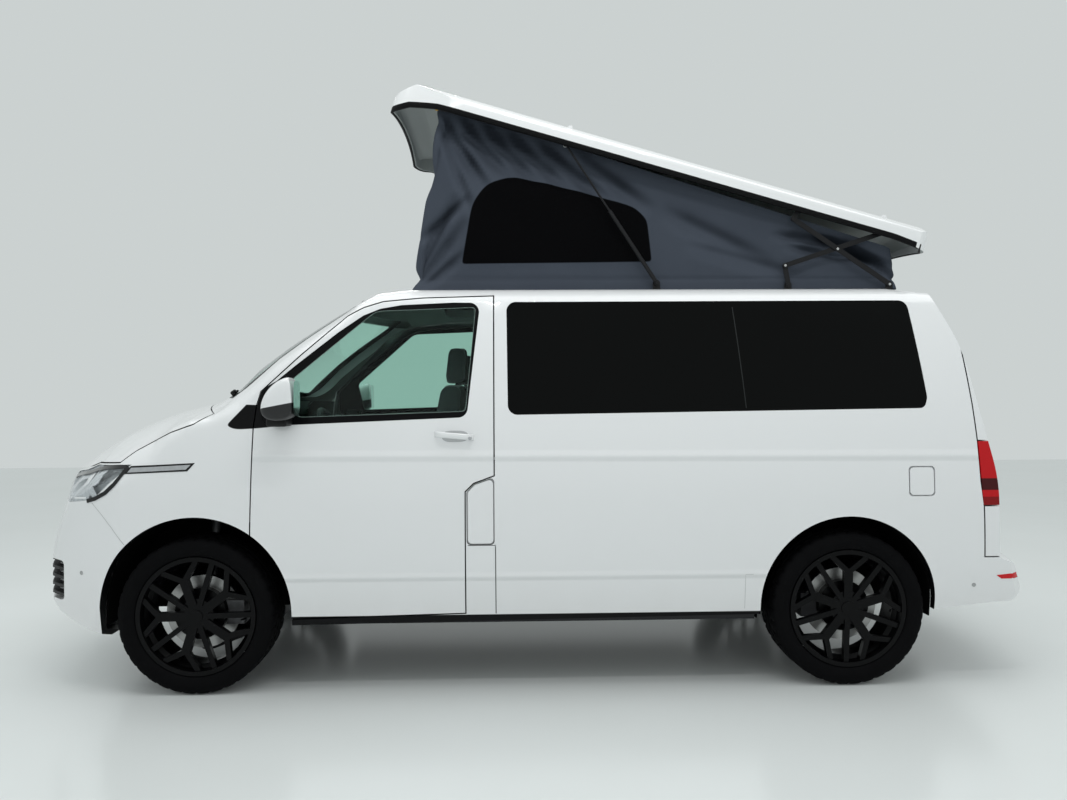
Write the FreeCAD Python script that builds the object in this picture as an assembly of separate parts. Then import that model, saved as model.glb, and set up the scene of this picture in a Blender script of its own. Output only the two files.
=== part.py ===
import FreeCAD
import Part
import math
import os

Vector = FreeCAD.Vector
os.makedirs("parts", exist_ok=True)

# Camper van with a pop-up roof raised on its front, in millimetres.
# The nose points to -X, the left side is -Y, and z = 0 is the ground.

# Overall body
half_length = 2452.0
half_width = 952.0
roof_height = 1905.0
front_overhang = 908.0
wheelbase = 3000.0
half_track = 814.0
panel_wall = 50.0
shut_gap = 6.0
seat_gap = 0.3
overrun = 60.0
halving_steps = 40
front_axle_x = front_overhang - half_length
rear_axle_x = front_axle_x + wheelbase

# Body curves: bows in plan and crowns across the van
nose_bow_radius = 1651.0
screen_bow_radius = 2000.0
tail_bow_radius = 2500.0
bonnet_crown = 100.0
screen_crown = 60.0
roof_crown = 45.0
bonnet_edge_round = 105.0
pillar_edge_round = 45.0
roof_edge_round = 60.0

# Points of the centre line from nose to tail: share of half_length, share of roof_height
top_shares = [
    (-1.02, 0.367), (-0.995, 0.451), (-0.963, 0.52), (-0.914, 0.573), (-0.856, 0.622),
    (-0.797, 0.655), (-0.742, 0.679), (-0.693, 0.692), (-0.657, 0.701), (-0.618, 0.75),
    (-0.578, 0.795), (-0.514, 0.856), (-0.449, 0.91), (-0.388, 0.957), (-0.343, 0.981),
    (-0.299, 0.992), (-0.24, 1.0), (0.0, 1.0), (0.7, 1.0), (0.754, 0.996),
    (0.816, 0.984), (1.03, 0.945)]
nose_shares = [
    (-0.86, 0.1), (-0.96, 0.165), (-1.0, 0.2), (-1.0, 0.33), (-0.945, 0.6)]
nose_radii = [0.0, 100.0, 90.0, 700.0, 0.0]
tail_shares = [
    (0.8, 1.12), (0.832, 0.975), (0.893, 0.83), (0.957, 0.5), (0.96, 0.308),
    (0.986, 0.294), (1.0, 0.222), (0.97, 0.19), (0.9, 0.0)]
tail_radii = [0.0, 300.0, 900.0, 900.0, 12.0, 40.0, 30.0, 30.0, 0.0]

# Half section of the body: share of half_width, share of roof_height
side_shares = [
    (0.938, 0.126), (0.949, 0.163), (0.972, 0.22), (0.996, 0.341), (1.0, 0.472),
    (0.983, 0.625), (0.964, 0.682), (0.916, 0.819), (0.849, 0.942), (0.814, 0.971),
    (0.777, 0.99), (0.735, 1.013), (0.69, 1.04)]
station_shares = [
    -1.02, -0.93, -0.88, -0.82, -0.76, -0.71, -0.675, -0.64, -0.6, -0.55, -0.49, -0.44,
    -0.4, -0.365, -0.335, -0.3, -0.24, 0.7, 0.8, 0.86, 1.02]
side_step_shares = [0.0, 0.25, 0.55, 0.8]
crown_step_shares = [0.7, 0.25]
bow_half_angle = 40.0

# Wheel arches
front_arch_radius = 432.0
rear_arch_radius = 408.0
arch_centre_z = 380.0
tyre_radius = 356.0
arch_inner_y = 480.0

# Body forms
glass_set = 2.0
glass_wall = 5.0

# Windows
screen_corner = 60.0
window_corner = 45.0
pane_margin = 40.0

# Flaps in the left side
flap_wall = 12.0
flap_corner = 18.0
striker_z = 1060.0
stop_radius = 12.0
towing_radius = 11.0
towing_y = 470.0
towing_z = 690.0
slat_pitch = 40.0
slat_height = 14.0
lamp_bowl_radius = 42.0

# Mirrors
mirror_tip = 1148.0
mirror_root = 1000.0
mirror_depth = 125.0
mirror_round = 45.0

# Floor and frame
floor_low = 440.0
floor_high = 480.0
well_y = 760.0
sill_low = 300.0
sill_high = 328.0
sheet_wall = 20.0
rail_inner_y = 330.0
rail_outer_y = 400.0
rail_low = 320.0
liner_wall = 5.0
bulkhead_x = -1500.0
floor_rear_share = 0.86
rail_front_share = -0.93
rail_rear_share = 0.9
beam_share = 0.42
beam_front_share = -0.955
beam_rear_share = -0.925

# Front suspension
kingpin_low_y = 742.0
kingpin_low_z = 190.0
kingpin_high_y = 575.0
kingpin_high_z = 900.0
strut_radius = 28.0
strut_top_z = 790.0
hub_radius = 55.0
spindle_radius = 20.0
disc_radius = 170.0
disc_inner_y = 790.0
disc_outer_y = 818.0
hat_radius = 118.0
hat_wall = 8.0
pad_inner_y = 862.0
pad_outer_y = 890.0
knuckle_inner_y = 700.0
play = 6.0

# Cross-frame and lower arms at the front, and the beam with trailing arms at the rear
frame_front_reach = 150.0
frame_rear_reach = 260.0
frame_low = 220.0
hollow_front_reach = 90.0
arm_front_reach = 100.0
arm_rear_reach = 200.0
arm_mid_z = 175.0
arm_half_height = 10.0
arm_post_top = 235.0
beam_front_reach = 330.0
beam_rear_reach = 230.0
beam_overhang = 100.0
beam_low = 240.0
trailing_low = 290.0

# Wheels
rim_radius = 271.0
rim_wall = 8.0
rim_inner_y = 703.0
rim_outer_y = 925.0
rim_step_radius = 256.0
well_radius = 238.0
well_inner_y = 790.0
well_outer_y = 865.0
well_slope = 15.0
lip_radius = 251.0
spoke_count = 5
fork_half_angle = 19.0
spoke_width = 40.0
arm_width = 24.0
spoke_depth = 30.0
cap_radius = 30.0
tyre_half_width = 124.0
shoulder_height = 20.0

# Drive
engine_half = 300.0
engine_low = 330.0
engine_mid = 760.0
engine_top = 980.0
pipe_y = 200.0
pipe_z = 290.0
pipe_radius = 28.0
silencer_front_x = 1500.0
silencer_rear_x = 1950.0
silencer_y0 = 120.0
silencer_y1 = 310.0
silencer_low = 250.0
silencer_high = 400.0
silencer_round = 60.0
outlet_y = 240.0
outlet_x = 2330.0
outlet_radius = 26.0
hanger_x = 1600.0
flange_half = 40.0
flange_depth = 24.0

# Dashboard and steering wheel
dash_half = 860.0
dash_round = 40.0
hood_outer_y = 600.0
hood_inner_y = 240.0
hood_round = 20.0
grip_radius = 178.0
grip_thickness = 15.0
grip_sides = 8
wheel_boss_radius = 60.0
wheel_boss_depth = 40.0
wheel_spoke_radius = 13.0
column_radius = 32.0
column_length = 170.0

# Seats
seat_x_share = -0.2855
seat_y = 430.0
seat_base_half_x = 180.0
seat_base_half_y = 190.0
seat_base_top = 720.0
seat_half = 245.0
back_half = 230.0
head_half = 130.0
cushion_round = 45.0
head_round = 35.0
post_x_share = 0.1315
post_low_share = 0.7244
post_high_share = 0.756
post_half = 60.0
post_radius = 7.0
bench_x_share = 0.5098
bench_y0 = -330.0
bench_y1 = 450.0
bench_inset = 20.0
bench_base_front = 230.0
bench_base_rear = 250.0
bench_base_top = 800.0

# Kitchen along the left wall
kitchen_face_y = 430.0
worktop_face_y = 415.0
worktop_low = 1180.0
worktop_high = 1205.0
worktop_lip = 15.0
drawer_gap = 8.0
drawer_depth = 10.0
drawer_margin = 40.0

# Pop-up roof
pole_x = 2593.0
pole_z = 1820.0
roof_lift = 15.8
shell_nose_x = -833.0
shell_tail_x = 1905.0
shell_half_width = 722.0
shell_wall = 18.0
shell_edge_round = 30.0
shell_shoulder_round = 60.0
shell_top_round = 3000.0
shell_nose_round = 220.0
shell_back_round = 900.0
rail_z = 1895.0
shell_crest = 105.0
shell_side_height = 45.0
shell_shoulder_height = 82.0
shell_end_height = 20.0
shell_nose_length = 140.0
shell_tail_length = 60.0
crown_rise = 10.0
shell_skirt = 90.0
roof_clear = 8.0
ceiling_z = 1965.0

# Scissor links, their pins and the gas strut
link_a_root_x = 1757.0
link_a_root_z = 1888.0
link_a_end_x = 1281.0
link_a_end_z = 2209.0
link_b_root_x = 1713.18
link_b_root_z = 2136.7
link_b_end_x = 1244.0
link_b_end_z = 1982.0
link_s1_root_x = 1260.5
link_s1_root_z = 1889.0
link_s2_root_x = 1308.0
link_s2_root_z = 2250.0
strut_foot_x = 611.0
strut_foot_z = 1897.0
strut_head_x = 170.0
strut_head_z = 2572.0
link_width = 24.0
link_wall = 5.0
pin_radius = 5.0
pin_end = 1.0
boss_radius = 12.0

# Planes of the links, counted outwards from the middle of the van
ear_s1_y = 663.0
link_s1_y = 670.0
ear_b_y = 670.0
link_b_y = 677.0
ear_a_y = 677.0
link_a_y = 684.0
link_s2_y = 691.0
strut_y = 686.0
strut_ear_y = 668.0

# Gas strut
strut_radius_outer = 10.0
strut_bore = 7.5
rod_radius = 5.0
cylinder_start = 14.0
cylinder_end = 420.0
rod_length = 430.0

# Canvas between the body's roof and the raised shell
canvas_wall = 6.0
canvas_half_width = 640.0
front_angle = 109.0
rear_angle = 88.0


def curve_value(table, at):
    """Height of a smooth curve through the table's (place, height) pairs."""
    if at <= table[0][0]:
        return table[0][1]
    for k in range(len(table) - 1):
        if at <= table[k + 1][0]:
            return hermite(table, k, at)
    return table[-1][1]


def hermite(table, k, at):
    x0, y0 = table[k]
    x1, y1 = table[k + 1]
    run = x1 - x0
    s = (at - x0) / run
    a = slope_at(table, k) * run
    b = slope_at(table, k + 1) * run
    h = (1 + 2 * s) * (1 - s) ** 2 * y0 + s * (1 - s) ** 2 * a
    return h + s * s * (3 - 2 * s) * y1 - s * s * (1 - s) * b


def slope_at(table, k):
    if k == 0 or k == len(table) - 1:
        j = max(k, 1)
        return (table[j][1] - table[j - 1][1]) / (table[j][0] - table[j - 1][0])
    d0 = (table[k][1] - table[k - 1][1]) / (table[k][0] - table[k - 1][0])
    d1 = (table[k + 1][1] - table[k][1]) / (table[k + 1][0] - table[k][0])
    if d0 * d1 <= 0:
        return 0.0
    return 2 * d0 * d1 / (d0 + d1)


top_table = [(sx * half_length, sz * roof_height) for sx, sz in top_shares]
side_table = [(sz * roof_height, sy * half_width) for sy, sz in side_shares]


def blend_step(value, low, high):
    s = min(1.0, max(0.0, (value - low) / (high - low)))
    return s * s * (3 - 2 * s)


def bow(radius, y):
    return radius - math.sqrt(radius * radius - y * y)


# Where the bonnet, windscreen and roof begin along the centre line
cowl_x = -0.68 * half_length
header_x = -0.36 * half_length
roof_flat_x = -0.28 * half_length


def plan_bow(x, y):
    """How far the body's front curves back at a distance y from the middle."""
    to_screen = blend_step(x, cowl_x - overrun, cowl_x + overrun)
    to_roof = blend_step(x, header_x, roof_flat_x)
    front = bow(nose_bow_radius, y) * (1 - to_screen) + bow(screen_bow_radius, y) * to_screen
    return front * (1 - to_roof)


def crown_drop(x, y):
    share = (y / half_width) ** 2
    to_screen = blend_step(x, cowl_x - overrun, cowl_x + overrun)
    to_roof = blend_step(x, header_x, roof_flat_x)
    drop = bonnet_crown * (1 - to_screen) + screen_crown * to_screen
    return share * (drop * (1 - to_roof) + roof_crown / 0.6 * to_roof)


def top_height(x, y, inset):
    height = curve_value(top_table, x - plan_bow(x, y)) - crown_drop(x, y)
    if inset == 0:
        return height
    step = shut_gap
    ahead = curve_value(top_table, x - plan_bow(x, y) + step)
    behind = curve_value(top_table, x - plan_bow(x, y) - step)
    slope = (ahead - behind) / (2 * step)
    return height - inset * math.sqrt(1 + min(slope * slope, 2.0))


def side_width(z, inset):
    return curve_value(side_table, z) - inset


def shoulder(x, inset):
    """Where the body's side meets its top surface at a station."""
    low = 0.5 * half_width
    high = half_width
    for k in range(halving_steps):
        y = (low + high) / 2
        if side_width(top_height(x, y, inset), inset) > y:
            low = y
        else:
            high = y
    return low, top_height(x, low, inset)


def edge_round(x, inset):
    to_screen = blend_step(x, cowl_x - overrun, cowl_x + overrun)
    to_roof = blend_step(x, header_x, roof_flat_x)
    value = bonnet_edge_round * (1 - to_screen) + pillar_edge_round * to_screen
    return (value * (1 - to_roof) + roof_edge_round * to_roof) * (1 - 0.3 * inset / panel_wall)


def half_section(x, inset, bottom):
    """One half of a cross-section: its side, the rounded shoulder and half of its top."""
    y_edge, z_edge = shoulder(x, inset)
    reach = edge_round(x, inset)
    z_low = z_edge - reach
    side = []
    for share in side_step_shares:
        z = bottom + share * (z_low - bottom)
        side.append((side_width(z, inset), z))
    side.append((side_width(z_low, inset), z_low))
    y_end = y_edge - reach
    top = [(y_end, top_height(x, y_end, inset))]
    for share in crown_step_shares:
        top.append((share * y_end, top_height(x, share * y_end, inset)))
    return side, (y_edge, z_edge), top


def chord_places(points):
    """Places along a row of points from 0 to 1, in step with the chords between them."""
    places = [0.0]
    for k in range(len(points) - 1):
        places.append(places[-1] + (points[k + 1] - points[k]).Length)
    return [value / places[-1] for value in places]


def mean_places(rows):
    """One set of places for all rows, so the surface through them stays light."""
    tables = [chord_places(row) for row in rows]
    return [sum(column) / len(tables) for column in zip(*tables)]


def spline(points, places=None):
    curve = Part.BSplineCurve()
    curve.interpolate(Points=points, Parameters=places or chord_places(points))
    return curve.toShape()


def line(start, end):
    return Part.LineSegment(start, end).toShape()


def rounding(start, corner, end):
    curve = Part.BezierCurve()
    curve.setPoles([start, corner, end])
    return curve.toShape()


def hull_wires(shares, inset, bottom):
    rows = []
    for share in shares:
        x = share * half_length
        side, corner, top = half_section(x, inset, bottom)
        left = [Vector(x, -y, z) for y, z in side]
        right = [Vector(x, y, z) for y, z in reversed(side)]
        crown = [Vector(x, -y, z) for y, z in top] + [Vector(x, y, z) for y, z in reversed(top)]
        rows.append((left, Vector(x, -corner[0], corner[1]), crown, Vector(x, corner[0], corner[1]), right))
    side_places = mean_places([row[0] for row in rows])
    crown_places = mean_places([row[2] for row in rows])
    back_places = [1 - place for place in reversed(side_places)]
    wires = []
    for left, left_corner, crown, right_corner, right in rows:
        edges = [spline(left, side_places), rounding(left[-1], left_corner, crown[0])]
        edges += [spline(crown, crown_places), rounding(crown[-1], right_corner, right[0])]
        edges += [spline(right, back_places), line(right[-1], left[0])]
        wires.append(Part.Wire(edges))
    return wires


def hull_form(inset, bottom):
    """Bonnet, windscreen and roof over the sides, in straight bands between the stations."""
    return Part.makeLoft(hull_wires(station_shares, inset, bottom), True, True)


def turned_cutter(points, radii, direction, inset, bow_radius):
    """Everything outside an end profile that is turned about an upright axis."""
    axis = Vector(direction * (half_length - bow_radius), 0, 0)
    moved_points = [(x - direction * inset, z) for x, z in points]
    far = direction * 1.2 * half_length
    moved_points += [(far, points[-1][1]), (far, points[0][1])]
    edges = rounded_edges(moved_points, list(radii) + [0.0, 0.0], lambda a, b: Vector(a, 0, b))
    face = Part.Face(Part.Wire(edges))
    face.rotate(axis, Vector(0, 0, 1), -bow_half_angle)
    return face.revolve(axis, Vector(0, 0, 1), 2 * bow_half_angle)


def nose_cutter(inset):
    return turned_cutter(points_of(nose_shares), nose_radii, -1.0, inset, nose_bow_radius)


def tail_cutter(inset):
    return turned_cutter(points_of(tail_shares), tail_radii, 1.0, inset, tail_bow_radius)


def corner_form(inset):
    """Plan outline that rounds the four corners, extruded upwards."""
    side = 1.01 * half_width
    nose = [(-1.03 * half_length, 0.6 * half_width)]
    front = [(-0.957, 0.68), (-0.925, 0.77), (-0.885, 0.86), (-0.83, 0.945), (-0.76, 1.0), (-0.7, 1.012)]
    back = [(0.86, 1.012), (0.905, 0.985), (0.938, 0.91), (0.958, 0.8), (0.985, 0.66)]
    front = [(sx * half_length + inset, sy * half_width - inset) for sx, sy in front]
    back = [(sx * half_length - inset, sy * half_width - inset) for sx, sy in back]
    near_front = [Vector(x, -y, 0) for x, y in front]
    near_back = [Vector(x, -y, 0) for x, y in back]
    far_front = [Vector(x, y, 0) for x, y in reversed(front)]
    far_back = [Vector(x, y, 0) for x, y in reversed(back)]
    nose_near = Vector(-1.1 * half_length, near_front[0].y, 0)
    nose_far = Vector(-1.1 * half_length, far_front[-1].y, 0)
    tail_near = Vector(1.1 * half_length, near_back[-1].y, 0)
    tail_far = Vector(1.1 * half_length, far_back[0].y, 0)
    edges = [line(nose_near, near_front[0]), spline(near_front), line(near_front[-1], near_back[0])]
    edges += [spline(near_back), line(near_back[-1], tail_near), line(tail_near, tail_far)]
    edges += [line(tail_far, far_back[0]), spline(far_back), line(far_back[-1], far_front[0])]
    edges += [spline(far_front), line(far_front[-1], nose_far), line(nose_far, nose_near)]
    return Part.Face(Part.Wire(edges)).extrude(Vector(0, 0, 1.3 * roof_height))


def body_form(inset, bottom):
    form = hull_form(inset, bottom).common(corner_form(inset))
    return form.cut(nose_cutter(inset)).cut(tail_cutter(inset)).Solids[0]


def points_of(shares):
    return [(sx * half_length, sz * roof_height) for sx, sz in shares]


def box(x0, x1, y0, y1, z0, z1):
    return Part.makeBox(x1 - x0, y1 - y0, z1 - z0, Vector(x0, y0, z0))


def mirrored(shape):
    return shape.mirror(Vector(0, 0, 0), Vector(0, 1, 0))


def moved(shape, x, y, z):
    copy = shape.copy()
    copy.translate(Vector(x, y, z))
    return copy


def turned(shape, centre, axis, angle):
    copy = shape.copy()
    copy.rotate(centre, axis, angle)
    return copy


def pair(shape):
    return Part.makeCompound([shape, mirrored(shape)])


def fused(shapes):
    return shapes[0].multiFuse(shapes[1:]).removeSplitter()


def area_sign(points):
    total = 0.0
    for k, (x, z) in enumerate(points):
        x2, z2 = points[(k + 1) % len(points)]
        total += x * z2 - x2 * z
    return 1.0 if total > 0 else -1.0


def inset_points(points, depth):
    """The same outline with every side moved inwards by depth."""
    sign = area_sign(points)
    sides = []
    for k, (x, z) in enumerate(points):
        x2, z2 = points[(k + 1) % len(points)]
        long = math.hypot(x2 - x, z2 - z)
        nx = -(z2 - z) / long * sign
        nz = (x2 - x) / long * sign
        sides.append((x + nx * depth, z + nz * depth, x2 - x, z2 - z))
    result = []
    for k, (x, z, dx, dz) in enumerate(sides):
        x0, z0, ex, ez = sides[k - 1]
        cross = ex * dz - ez * dx
        s = ((x - x0) * dz - (z - z0) * dx) / cross
        result.append((x0 + s * ex, z0 + s * ez))
    return result


def rounded_edges(points, radii, place):
    """Edges of a closed outline with its corners rounded; place puts (a, b) in space."""
    edges = []
    ends = []
    for k, (a, b) in enumerate(points):
        pa, pb = points[k - 1]
        na, nb = points[(k + 1) % len(points)]
        radius = radii[k] if isinstance(radii, (list, tuple)) else radii
        u = (pa - a, pb - b)
        w = (na - a, nb - b)
        lu = math.hypot(*u)
        lw = math.hypot(*w)
        cosine = (u[0] * w[0] + u[1] * w[1]) / (lu * lw)
        half = math.acos(max(-1.0, min(1.0, cosine))) / 2
        reach = min(radius / math.tan(half), 0.45 * lu, 0.45 * lw)
        if reach < seat_gap:
            ends.append((place(a, b), None, place(a, b)))
            continue
        start = (a + u[0] / lu * reach, b + u[1] / lu * reach)
        stop = (a + w[0] / lw * reach, b + w[1] / lw * reach)
        real = reach * math.tan(half)
        middle = ((u[0] / lu + w[0] / lw), (u[1] / lu + w[1] / lw))
        size = math.hypot(*middle)
        depth = real / math.sin(half) - real
        mid = (a + middle[0] / size * depth, b + middle[1] / size * depth)
        ends.append((place(*start), place(*mid), place(*stop)))
    for k, (start, mid, stop) in enumerate(ends):
        if mid is not None:
            edges.append(Part.Arc(start, mid, stop).toShape())
        edges.append(line(stop, ends[(k + 1) % len(ends)][0]))
    return edges


def side_prism(points, y0, y1, radii=0.0):
    """Solid between y0 and y1 with an outline given in x and z."""
    edges = rounded_edges(points, radii, lambda a, b: Vector(a, y0, b))
    return Part.Face(Part.Wire(edges)).extrude(Vector(0, y1 - y0, 0))


def front_prism(points, x0, x1, radii=0.0):
    """Solid between x0 and x1 with an outline given in y and z."""
    edges = rounded_edges(points, radii, lambda a, b: Vector(x0, a, b))
    return Part.Face(Part.Wire(edges)).extrude(Vector(x1 - x0, 0, 0))


def plan_prism(points, z0, z1, radii=0.0):
    """Solid between z0 and z1 with an outline given in x and y."""
    edges = rounded_edges(points, radii, lambda a, b: Vector(a, b, z0))
    return Part.Face(Part.Wire(edges)).extrude(Vector(0, 0, z1 - z0))


def tube_between(start, end, radius):
    direction = end - start
    return Part.makeCylinder(radius, direction.Length, start, direction)


def bar_between(start, end, width, depth, side):
    """Flat bar with round ends between two points of one x-z plane."""
    along = (end - start).normalize()
    across = Vector(-along.z, 0, along.x) * (width / 2)
    a = start + across
    b = end + across
    c = end - across
    d = start - across
    tip = end + along * (width / 2)
    tail = start - along * (width / 2)
    edges = [line(a, b), Part.Arc(b, tip, c).toShape(), line(c, d), Part.Arc(d, tail, a).toShape()]
    return Part.Face(Part.Wire(edges)).extrude(Vector(0, side * depth, 0))


# Outlines seen from the side: share of half_length, share of roof_height
door_shares = [
    (-0.527, 0.16), (-0.527, 0.393), (-0.521, 0.637), (-0.516, 0.692), (-0.509, 0.725),
    (-0.438, 0.812), (-0.354, 0.909), (-0.322, 0.931), (-0.285, 0.946), (-0.21, 0.955),
    (-0.073, 0.96), (-0.073, 0.186), (-0.46, 0.175)]
door_notch_shares = [
    (-0.06, 0.518), (-0.073, 0.518), (-0.112, 0.5), (-0.127, 0.481), (-0.128, 0.15), (-0.06, 0.15)]
door_window_shares = [
    (-0.505, 0.722), (-0.446, 0.786), (-0.367, 0.868), (-0.322, 0.909), (-0.29, 0.926),
    (-0.25, 0.935), (-0.15, 0.941), (-0.1, 0.94), (-0.125, 0.659), (-0.506, 0.641)]
long_window_shares = [(-0.05, 0.942), (0.727, 0.943), (0.748, 0.7), (0.742, 0.674), (-0.048, 0.664)]
slide_door_shares = [(-0.067, 0.186), (0.383, 0.186), (0.383, 0.962), (-0.067, 0.962)]
fuel_shares = [(-0.126, 0.481), (-0.112, 0.5), (-0.074, 0.517), (-0.074, 0.354), (-0.126, 0.354)]
bonnet_line_shares = [
    (-1.05, 0.515), (-0.95, 0.517), (-0.875, 0.533), (-0.84, 0.548), (-0.771, 0.554),
    (-0.744, 0.582), (-0.708, 0.608), (-0.672, 0.627), (-0.631, 0.645), (-0.609, 0.664),
    (-0.578, 0.697)]
lamp_shares = [
    (-1.05, 0.456), (-0.896, 0.456), (-0.83, 0.466), (-0.81, 0.478), (-0.744, 0.552),
    (-0.771, 0.551), (-0.84, 0.545), (-0.875, 0.53), (-0.95, 0.514), (-1.05, 0.512)]
bumper_line_shares = [(-1.1, 0.456), (-0.896, 0.456), (-0.83, 0.466), (-0.801, 0.463), (-0.735, 0.36)]
tail_line_shares = [
    (0.789, 0.976), (0.805, 0.933), (0.818, 0.854), (0.826, 0.759), (0.832, 0.68),
    (0.837, 0.595), (0.841, 0.498), (0.847, 0.435), (0.85, 0.31)]
tail_lamp_shares = [(0.8395, 0.593), (1.0, 0.593), (1.0, 0.438), (0.8465, 0.438)]
sill_shares = [(-0.46, 0.161), (0.43, 0.175), (0.76, 0.181), (0.87, 0.198), (0.93, 0.203), (1.05, 0.207)]

# Wheel arches
axle_z = tyre_radius


def arch_form(x, radius, y0, y1):
    low = Part.makeBox(2 * radius, y1 - y0, arch_centre_z, Vector(x - radius, y0, 0))
    high = Part.makeCylinder(radius, y1 - y0, Vector(x, y0, arch_centre_z), Vector(0, 1, 0))
    return low.fuse(high)


def all_arches(extra):
    shapes = []
    for x, radius in ((front_axle_x, front_arch_radius), (rear_axle_x, rear_arch_radius)):
        left = arch_form(x, radius + extra, -1.1 * half_width, extra - arch_inner_y)
        shapes += [left, mirrored(left)]
    return shapes

# Body forms: outer skin, both faces of the bonded glass, both faces of the door glass, inner face
body_bottom = 0.13 * roof_height
inner_bottom = 0.08 * roof_height

outer_form = body_form(0.0, body_bottom)
inner_form = body_form(panel_wall, inner_bottom)
glass_skin_form = body_form(glass_set, inner_bottom)
glass_back_form = body_form(glass_set + glass_wall, inner_bottom)
glass_shell = glass_skin_form.cut(glass_back_form)
cabin_form = body_form(panel_wall + 2 * shut_gap, inner_bottom)


def below_sill():
    points = points_of(sill_shares)
    points += [(points[-1][0], 0.0), (points[0][0], 0.0)]
    return side_prism(points, -1.1 * half_width, 1.1 * half_width)


def body_shell():
    shell = outer_form.cut(inner_form)
    shell = shell.cut(below_sill())
    for arch in all_arches(0.0):
        shell = shell.cut(arch)
    return shell


wall_shell = body_shell()
far_y = 1.2 * half_width


def bonnet_region():
    """Everything above the bonnet's shut line and ahead of the windscreen."""
    points = points_of(bonnet_line_shares)
    points += [(points[-1][0], 1.2 * roof_height), (points[0][0], 1.2 * roof_height)]
    above = side_prism(points, -far_y, far_y)
    return above.common(cowl_region(cowl_front_x))


cowl_front_x = -0.678 * half_length


def cowl_region(x_middle):
    """Space ahead of a line across the cowl that bows like the windscreen."""
    steps = [-1.0, -0.75, -0.5, -0.25, 0.0, 0.25, 0.5, 0.75, 1.0]
    row = [Vector(x_middle + bow(screen_bow_radius, s * half_width), s * half_width, 0) for s in steps]
    ahead = -1.1 * half_length
    edges = [spline(row), line(row[-1], Vector(ahead, row[-1].y, 0))]
    edges += [line(Vector(ahead, row[-1].y, 0), Vector(ahead, row[0].y, 0))]
    edges.append(line(Vector(ahead, row[0].y, 0), row[0]))
    return Part.Face(Part.Wire(edges)).extrude(Vector(0, 0, 1.3 * roof_height))


def front_region():
    """Bumper, lamps and grille: everything below the lamps' line and the seam to the wing."""
    points = points_of(bumper_line_shares)
    points += [(points[-1][0], 0.0), (points[0][0], 0.0)]
    return side_prism(points, -far_y, far_y)


def door_region(gap):
    return side_prism(inset_points(points_of(door_shares), gap), -far_y, -0.5 * half_width)


def notch_region(gap):
    return side_prism(inset_points(points_of(door_notch_shares), -gap), -far_y, -0.5 * half_width)


lamp_inner_y = 0.46 * half_width


def lamp_region(gap):
    shape = side_prism(inset_points(points_of(lamp_shares), gap), -far_y, -lamp_inner_y - gap)
    return pair(shape)


def grille_region(gap):
    low = 0.456 * roof_height + gap
    high = 0.516 * roof_height - gap
    return box(-1.1 * half_length, -0.85 * half_length, -lamp_inner_y + gap, lamp_inner_y - gap, low, high)


def tailgate_region(gap):
    line_points = [(x + gap, z) for x, z in points_of(tail_line_shares)]
    top = [(line_points[0][0], 1.1 * roof_height)]
    back = [(1.1 * half_length, 1.1 * roof_height), (1.1 * half_length, line_points[-1][1] + gap)]
    low = [(line_points[-1][0], line_points[-1][1] + gap)]
    return side_prism(top + line_points[:-1] + low + back[::-1], -far_y, far_y)


tail_lamp_inner_y = 0.8 * half_width


def tail_lamp_region(gap):
    shape = side_prism(inset_points(points_of(tail_lamp_shares), gap), -far_y, -tail_lamp_inner_y - gap)
    return pair(shape)


def rear_bumper_region():
    low = -0.1 * roof_height
    high = 0.308 * roof_height
    return box(0.7 * half_length, 1.1 * half_length, -far_y, far_y, low, high)


def roof_region():
    """Roof, A-pillars and the rails over the doors."""
    door = points_of(door_shares)
    points = [(-0.6 * half_length, 1.2 * roof_height), (-0.6 * half_length, 0.695 * roof_height)]
    points += [(door[2][0] - overrun / 2, 0.693 * roof_height), (door[3][0], door[3][1])]
    points += door[4:10]
    points.append((0.0 - 0.073 * half_length, 0.963 * roof_height))
    points += [(1.1 * half_length, 0.968 * roof_height), (1.1 * half_length, 1.2 * roof_height)]
    return side_prism(points, -far_y, far_y)


def write(name, shape):
    solids = [s for s in shape.Solids if s.Volume > half_width]
    if len(solids) == 1:
        shape = solids[0]
    else:
        shape = Part.makeCompound(solids)
    shape.exportStep("parts/" + name + ".step")


# Windows
screen_x0 = -0.75 * half_length
screen_x1 = -0.3 * half_length
left_span = (-far_y, -0.5 * half_width)
right_span = (0.5 * half_width, far_y)


def screen_points():
    low = 0.708 * roof_height
    high = 0.957 * roof_height
    wide = 0.83 * half_width
    narrow = 0.71 * half_width
    return [(-wide, low), (wide, low), (narrow, high), (-narrow, high)]


def screen_prism(gap):
    return front_prism(inset_points(screen_points(), gap), screen_x0, screen_x1, screen_corner)


def tail_window_prism(gap):
    low = 0.62 * roof_height
    high = 0.91 * roof_height
    wide = 0.76 * half_width
    narrow = 0.69 * half_width
    points = [(-wide, low), (wide, low), (narrow, high), (-narrow, high)]
    return front_prism(inset_points(points, gap), 0.7 * half_length, 1.1 * half_length, screen_corner)


def long_window():
    return points_of(long_window_shares)


def door_pane_points():
    """Window of the sliding door: the front half of the long window."""
    window = long_window()
    end = slide_door_shares[1][0] * half_length - pane_margin
    return [window[0], (end, window[1][1]), (end, window[3][1]), window[4]]


def rear_pane_points():
    window = long_window()
    start = slide_door_shares[1][0] * half_length + pane_margin
    return [(start, window[0][1]), window[1], window[2], window[3], (start, window[4][1])]


def window_prism(points, gap, span):
    return side_prism(inset_points(points, gap), span[0], span[1], window_corner)


def windscreen():
    return glass_shell.common(screen_prism(seat_gap))


def side_glass():
    left = glass_shell.common(window_prism(long_window(), seat_gap, left_span))
    rear = glass_shell.common(window_prism(rear_pane_points(), seat_gap, right_span))
    middle = glass_shell.common(window_prism(door_pane_points(), seat_gap, right_span))
    return Part.makeCompound([left, rear, middle])


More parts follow.
